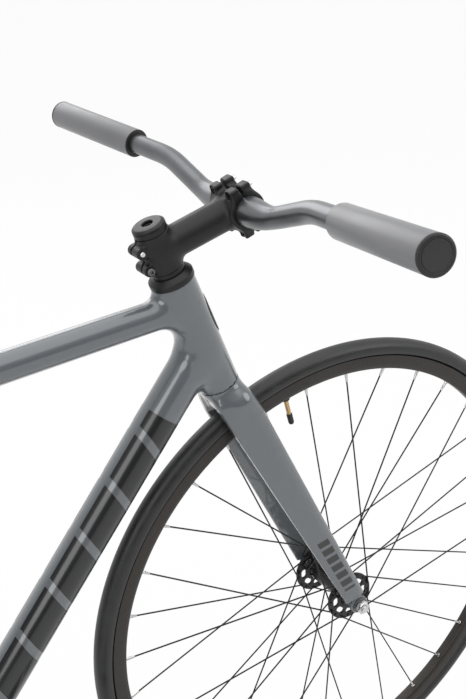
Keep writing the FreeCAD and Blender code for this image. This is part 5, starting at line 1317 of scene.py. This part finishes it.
def clampField(points):
    halves = (post.plateLength, post.plateWidth, post.cradle)
    drop = post.railDrop + post.plateGap + post.cradle
    lower = boxField(points, saddlePivot - upWay * drop, halves, squareWays, 2)
    lower = carved(lower, -acrossDrum(points, saddlePivot, 60, post.seat - 0.4, 0.1), 2)
    high = (post.railDrop - post.plateTop - post.plateGap) / 2
    halves = (post.plateLength, post.plateWidth, high)
    upper = boxField(points, saddlePivot - upWay * (post.plateTop + high), halves, squareWays, 2.6)
    groove = saddlePivot + leftWay * post.railSide - upWay * post.railDrop
    rail = alongRod(mirrorSides(points), groove, post.railGroove)
    dish = alongRod(points, saddlePivot + upWay * 9, post.dish)
    return carved(np.minimum(lower, carved(upper, dish, 2)), rail, 0.4)


postReach = np.array((24, 22, 20))
postSkin = skin(postField, np.minimum(postFoot, postTop) - postReach,
                np.maximum(postFoot, postTop) + postReach, post.pitch)
clampSkin = skin(clampField, saddlePivot - (19, 30, 32), saddlePivot + (19, 30, 1), post.clampPitch)
makePiece("seatpost_forging", postSkin, "black", "seatpost", ("seatpost",))
makePiece("saddle_clamp_plates", clampSkin, "black", "saddle", ("saddle_clamp",))
clampBolts = []
for ahead in (-post.boltAhead, post.boltAhead):
    spot = saddlePivot + forwardWay * ahead - upWay * (post.plateTop + 2.2)
    clampBolts.append(capBolt(spot, upWay, 4.4, 4.2, 2.2))
makePiece("saddle_clamp_bolts", gathered(clampBolts), "darkSteel", "saddle")

# saddle: padded cover, moulded base, bent rails
saddle = Settings(
    voxel=0.0048, cap=0.007, shrink=0.002, lift=0.0006,            # metres, as are the next three
    grooveWide=0.009, grooveDeep=0.0035, baseBevel=0.0015,
    grooveBack=0.06, grooveFront=0.92,                             # shares of the length
    baseShare=(0.925, 0.87, 1.0),                                  # of the solid's size
    pressure=4.0, stiffness=25, bending=4, frames=20,              # for the cloth
    rail=3.4, piping=1.3, pipingHigh=2.2, pipingSteps=96,
)
railLevel = saddlePivot[2] - post.railDrop
baseLow, baseHigh = (np.array(corner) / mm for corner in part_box("saddle_base"))
coverLow, coverHigh = (np.array(corner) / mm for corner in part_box("saddle_cover"))
coverMiddle = (coverLow + coverHigh) / 2
saddleLength = coverHigh[0] - coverLow[0]
railCorners = [
    (0.155, 34.5, baseLow[2] + 0.5), (0.2, 28, railLevel + 3), (0.33, 22, railLevel), (0.66, 22, railLevel),
    (0.8, 14, railLevel + 14), (0.9, 9, baseLow[2] + 0.5),
]
rails = []
for side in (-1, 1):
    corners = [np.array((coverLow[0] + saddleLength * share, side * aside, height))
               for share, aside, height in railCorners]
    rails.append(sweep(bentPath(corners, (14, 26, 60, 60), 10), saddle.rail, 16))
makePiece("saddle_rail_rods", gathered(rails), "satin", "saddle", ("saddle_rails",))


def meshPoints(mesh):
    return np.array([vertex.co for vertex in mesh.vertices])


def applied(thing, kind, **settings):
    # adds a modifier and applies it
    modifier = thing.modifiers.new(kind, kind)
    for key, value in settings.items():
        setattr(modifier, key, value)
    bpy.ops.object.modifier_apply(modifier=modifier.name)


def inflate(thing):
    cloth = thing.modifiers.new("cloth", "CLOTH")
    cloth.settings.use_pressure = True
    cloth.settings.uniform_pressure_force = saddle.pressure
    cloth.settings.effector_weights.gravity = 0
    cloth.settings.tension_stiffness = saddle.stiffness
    cloth.settings.compression_stiffness = saddle.stiffness
    cloth.settings.bending_stiffness = saddle.bending
    cloth.point_cache.frame_end = saddle.frames
    for number in range(1, saddle.frames + 1):
        scene.frame_set(number)
    bpy.ops.object.modifier_apply(modifier="cloth")
    scene.frame_set(1)


def saddleCover():
    mesh = frame["nodes"]["saddle_cover"].data.copy()
    mesh.name = "saddle_padding"
    thing = bpy.data.objects.new("saddle_padding", mesh)
    scene.collection.objects.link(thing)
    middle = coverMiddle * mm
    halves = (coverHigh - coverLow) / 2 * mm
    shrunk = middle + (meshPoints(mesh) - middle) * (1 - saddle.shrink / halves)
    mesh.vertices.foreach_set("co", shrunk.ravel())
    bpy.context.view_layer.objects.active = thing
    thing.select_set(True)
    applied(thing, "WELD", merge_threshold=0.0001)
    applied(thing, "REMESH", mode="VOXEL", voxel_size=saddle.voxel)
    rest = meshPoints(thing.data)
    inflate(thing)
    step = meshPoints(thing.data) - rest
    size = np.linalg.norm(step, axis=1)[:, None]
    moved = rest + step * np.minimum(1, saddle.cap / np.maximum(size, 1e-9))
    moved[:, 2] = np.maximum(moved[:, 2], coverLow[2] * mm + saddle.lift)
    # long groove along the middle
    share = (moved[:, 0] - coverLow[0] * mm) / (saddleLength * mm)
    groove = np.exp(-(moved[:, 1] / saddle.grooveWide) ** 2)
    groove *= np.clip((share - saddle.grooveBack) / 0.12, 0, 1)
    groove *= np.clip((saddle.grooveFront - share) / 0.2, 0, 1)
    top = np.clip((moved[:, 2] - middle[2]) / halves[2], 0, 1)
    moved[:, 2] -= saddle.grooveDeep * groove * top
    thing.data.vertices.foreach_set("co", moved.ravel())
    applied(thing, "SMOOTH", factor=0.5, iterations=3)
    applied(thing, "SUBSURF", levels=1, render_levels=1)
    thing.data.polygons.foreach_set("use_smooth", [True] * len(thing.data.polygons))
    thing.select_set(False)
    dress(thing, "leather", "saddle", ("saddle_cover",))
    return meshPoints(thing.data) / mm


def saddlePiping(points):
    # sewn edge round the foot of the cover
    foot = points[points[:, 2] < coverLow[2] + 5]
    ahead, aside = (foot - coverMiddle)[:, :2].T
    ahead = ahead + 20
    turns = np.arctan2(aside, ahead * 0.5)
    reach = np.hypot(aside, ahead)
    path = []
    for angle in np.linspace(-math.pi, math.pi, saddle.pipingSteps + 1)[:-1]:
        near = np.abs((turns - angle + math.pi) % (2 * math.pi) - math.pi) < 0.06
        pick = foot[near][np.argmax(reach[near])]
        path.append((pick[0], pick[1], coverLow[2] + saddle.pipingHigh))
    path = np.array(path)
    for attempt in range(3):
        path = (np.roll(path, 1, axis=0) + 2 * path + np.roll(path, -1, axis=0)) / 4
    return sweep(np.vstack([path, path[:1]]), saddle.piping, 10)


makePiece("saddle_piping", saddlePiping(saddleCover()), "leather", "saddle")
baseMesh = frame["nodes"]["saddle_base"].data
baseMiddle = (baseLow + baseHigh) / 2
basePoints = baseMiddle + (meshPoints(baseMesh) / mm - baseMiddle) * saddle.baseShare
baseFaces = [list(face.vertices) for face in baseMesh.polygons]
base = makePiece("saddle_base_moulding", (basePoints, baseFaces), "plastic", "saddle", ("saddle_base",))
softenEdges(base, saddle.baseBevel)
print("saddle")

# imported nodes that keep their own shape: finish, and a small bevel on their edges
keptBevel = 0.0004
keptFinishes = {
    "track_ends": "frame", "seat_clamp": "black", "headset_bearings": "steel", "bottom_bracket_cups": "black",
    "rear_axle": "steel", "front_axle": "steel", "fork_steerer": "satin", "bottom_bracket_spindle": "steel",
    "chainring": "crank", "pedal_axles": "steel", "drive_cog": "darkSteel", "cog_lockring": "satin",
}
for name, finish in keptFinishes.items():
    thing = frame["nodes"][name]
    coat(thing, finish)
    softenEdges(thing, keptBevel)
print("kept nodes", len(keptFinishes))

# camera at the photograph's angle
view = Settings(place=(-0.1057, -0.8194, 1.1611), yaw=-29.36, pitch=-25.63, roll=-4.71, lens=49.6,
                sensor=36, far=200)
cameraData = bpy.data.cameras.new("camera")
cameraData.lens = view.lens
cameraData.sensor_width = view.sensor
cameraData.clip_end = view.far
camera = bpy.data.objects.new("camera", cameraData)
scene.collection.objects.link(camera)
camera.matrix_world = Matrix.Translation(view.place)
for degrees, axis in ((view.yaw, "Z"), (90 + view.pitch, "X"), (view.roll, "Z")):
    camera.matrix_world = camera.matrix_world @ Matrix.Rotation(math.radians(degrees), 4, axis)
scene.camera = camera

# pale floor that keeps a soft shadow, white surroundings that darken behind the camera, soft boxes
studio = Settings(
    floor=0.93, floorHalf=40, shown=0.95, surround=0.975, ambient=0.48, dark=0.86,
    cameraSide=(-0.49, -0.87, 0.0),
)


def seenRays(tree):
    # two masks: rays from the camera, and rays from a mirror or a clear body
    path = Flow(tree).add("ShaderNodeLightPath", {}, {}, "Is Camera Ray")
    outputs = path.socket.node.outputs
    return path, Flow(tree, outputs["Is Glossy Ray"]) + Flow(tree, outputs["Is Transmission Ray"])


floorMesh = bpy.data.meshes.new("floor")
floorCorners = [(x * studio.floorHalf, y * studio.floorHalf, 0)
                for x, y in ((-1, -1), (1, -1), (1, 1), (-1, 1))]
floorMesh.from_pydata(floorCorners, [], [(0, 1, 2, 3)])
floor = bpy.data.objects.new("floor", floorMesh)
scene.collection.objects.link(floor)
floorPaint = bpy.data.materials.new("paleFloor")
floorPaint.use_nodes = True
tree = floorPaint.node_tree
tree.nodes.clear()
flow = Flow(tree)
lit = flow.add("ShaderNodeBsdfDiffuse", {}, {"Color": grey(studio.floor)})
white = flow.add("ShaderNodeEmission", {}, {"Color": grey(1.0), "Strength": 1.0})
fromCamera, fromMirror = seenRays(tree)
blend = flow.add("ShaderNodeMixShader", {}, {0: (fromCamera + fromMirror) * studio.shown, 1: lit, 2: white})
output = tree.nodes.new("ShaderNodeOutputMaterial")
tree.links.new(blend.socket, output.inputs["Surface"])
floorMesh.materials.append(floorPaint)

world = bpy.data.worlds.new("studio")
scene.world = world
world.use_nodes = True
tree = world.node_tree
background = tree.nodes["Background"]
background.inputs["Color"].default_value = grey(studio.surround)
fromCamera, fromMirror = seenRays(tree)
way = Flow(tree).add("ShaderNodeTexCoord", {}, {}, "Generated")
behind = way.dot(studio.cameraSide).soft(-0.35, 0.45)
low = 1 - way.dot(upWay).soft(0.3, 0.8)
shaded = 1 - behind * low * studio.dark
strength = fromCamera + fromMirror * shaded + (1 - fromCamera - fromMirror) * shaded * studio.ambient
tree.links.new(strength.socket, background.inputs["Strength"])

lamps = {
    "overhead": Settings(place=(0.2, -0.3, 3.0), aim=(0.1, 0, 0.6), size=4.2, power=50),
    "left": Settings(place=(-2.6, -1.6, 1.9), aim=(0.1, 0, 0.7), size=1.8, power=29),
    "front": Settings(place=(2.6, -1.8, 2.0), aim=(0.3, 0, 0.6), size=1.8, power=23),
    "behind": Settings(place=(0.4, 2.8, 2.2), aim=(0.2, 0, 0.6), size=2.2, power=25),
}
for name, lamp in lamps.items():
    data = bpy.data.lights.new(name, "AREA")
    data.energy = lamp.power
    data.shape = "DISK"
    data.size = lamp.size
    thing = bpy.data.objects.new(name, data)
    thing.location = lamp.place
    aim = Vector(lamp.aim) - Vector(lamp.place)
    thing.rotation_euler = aim.to_track_quat("-Z", "Y").to_euler()
    scene.collection.objects.link(thing)

scene.view_settings.view_transform = "Standard"
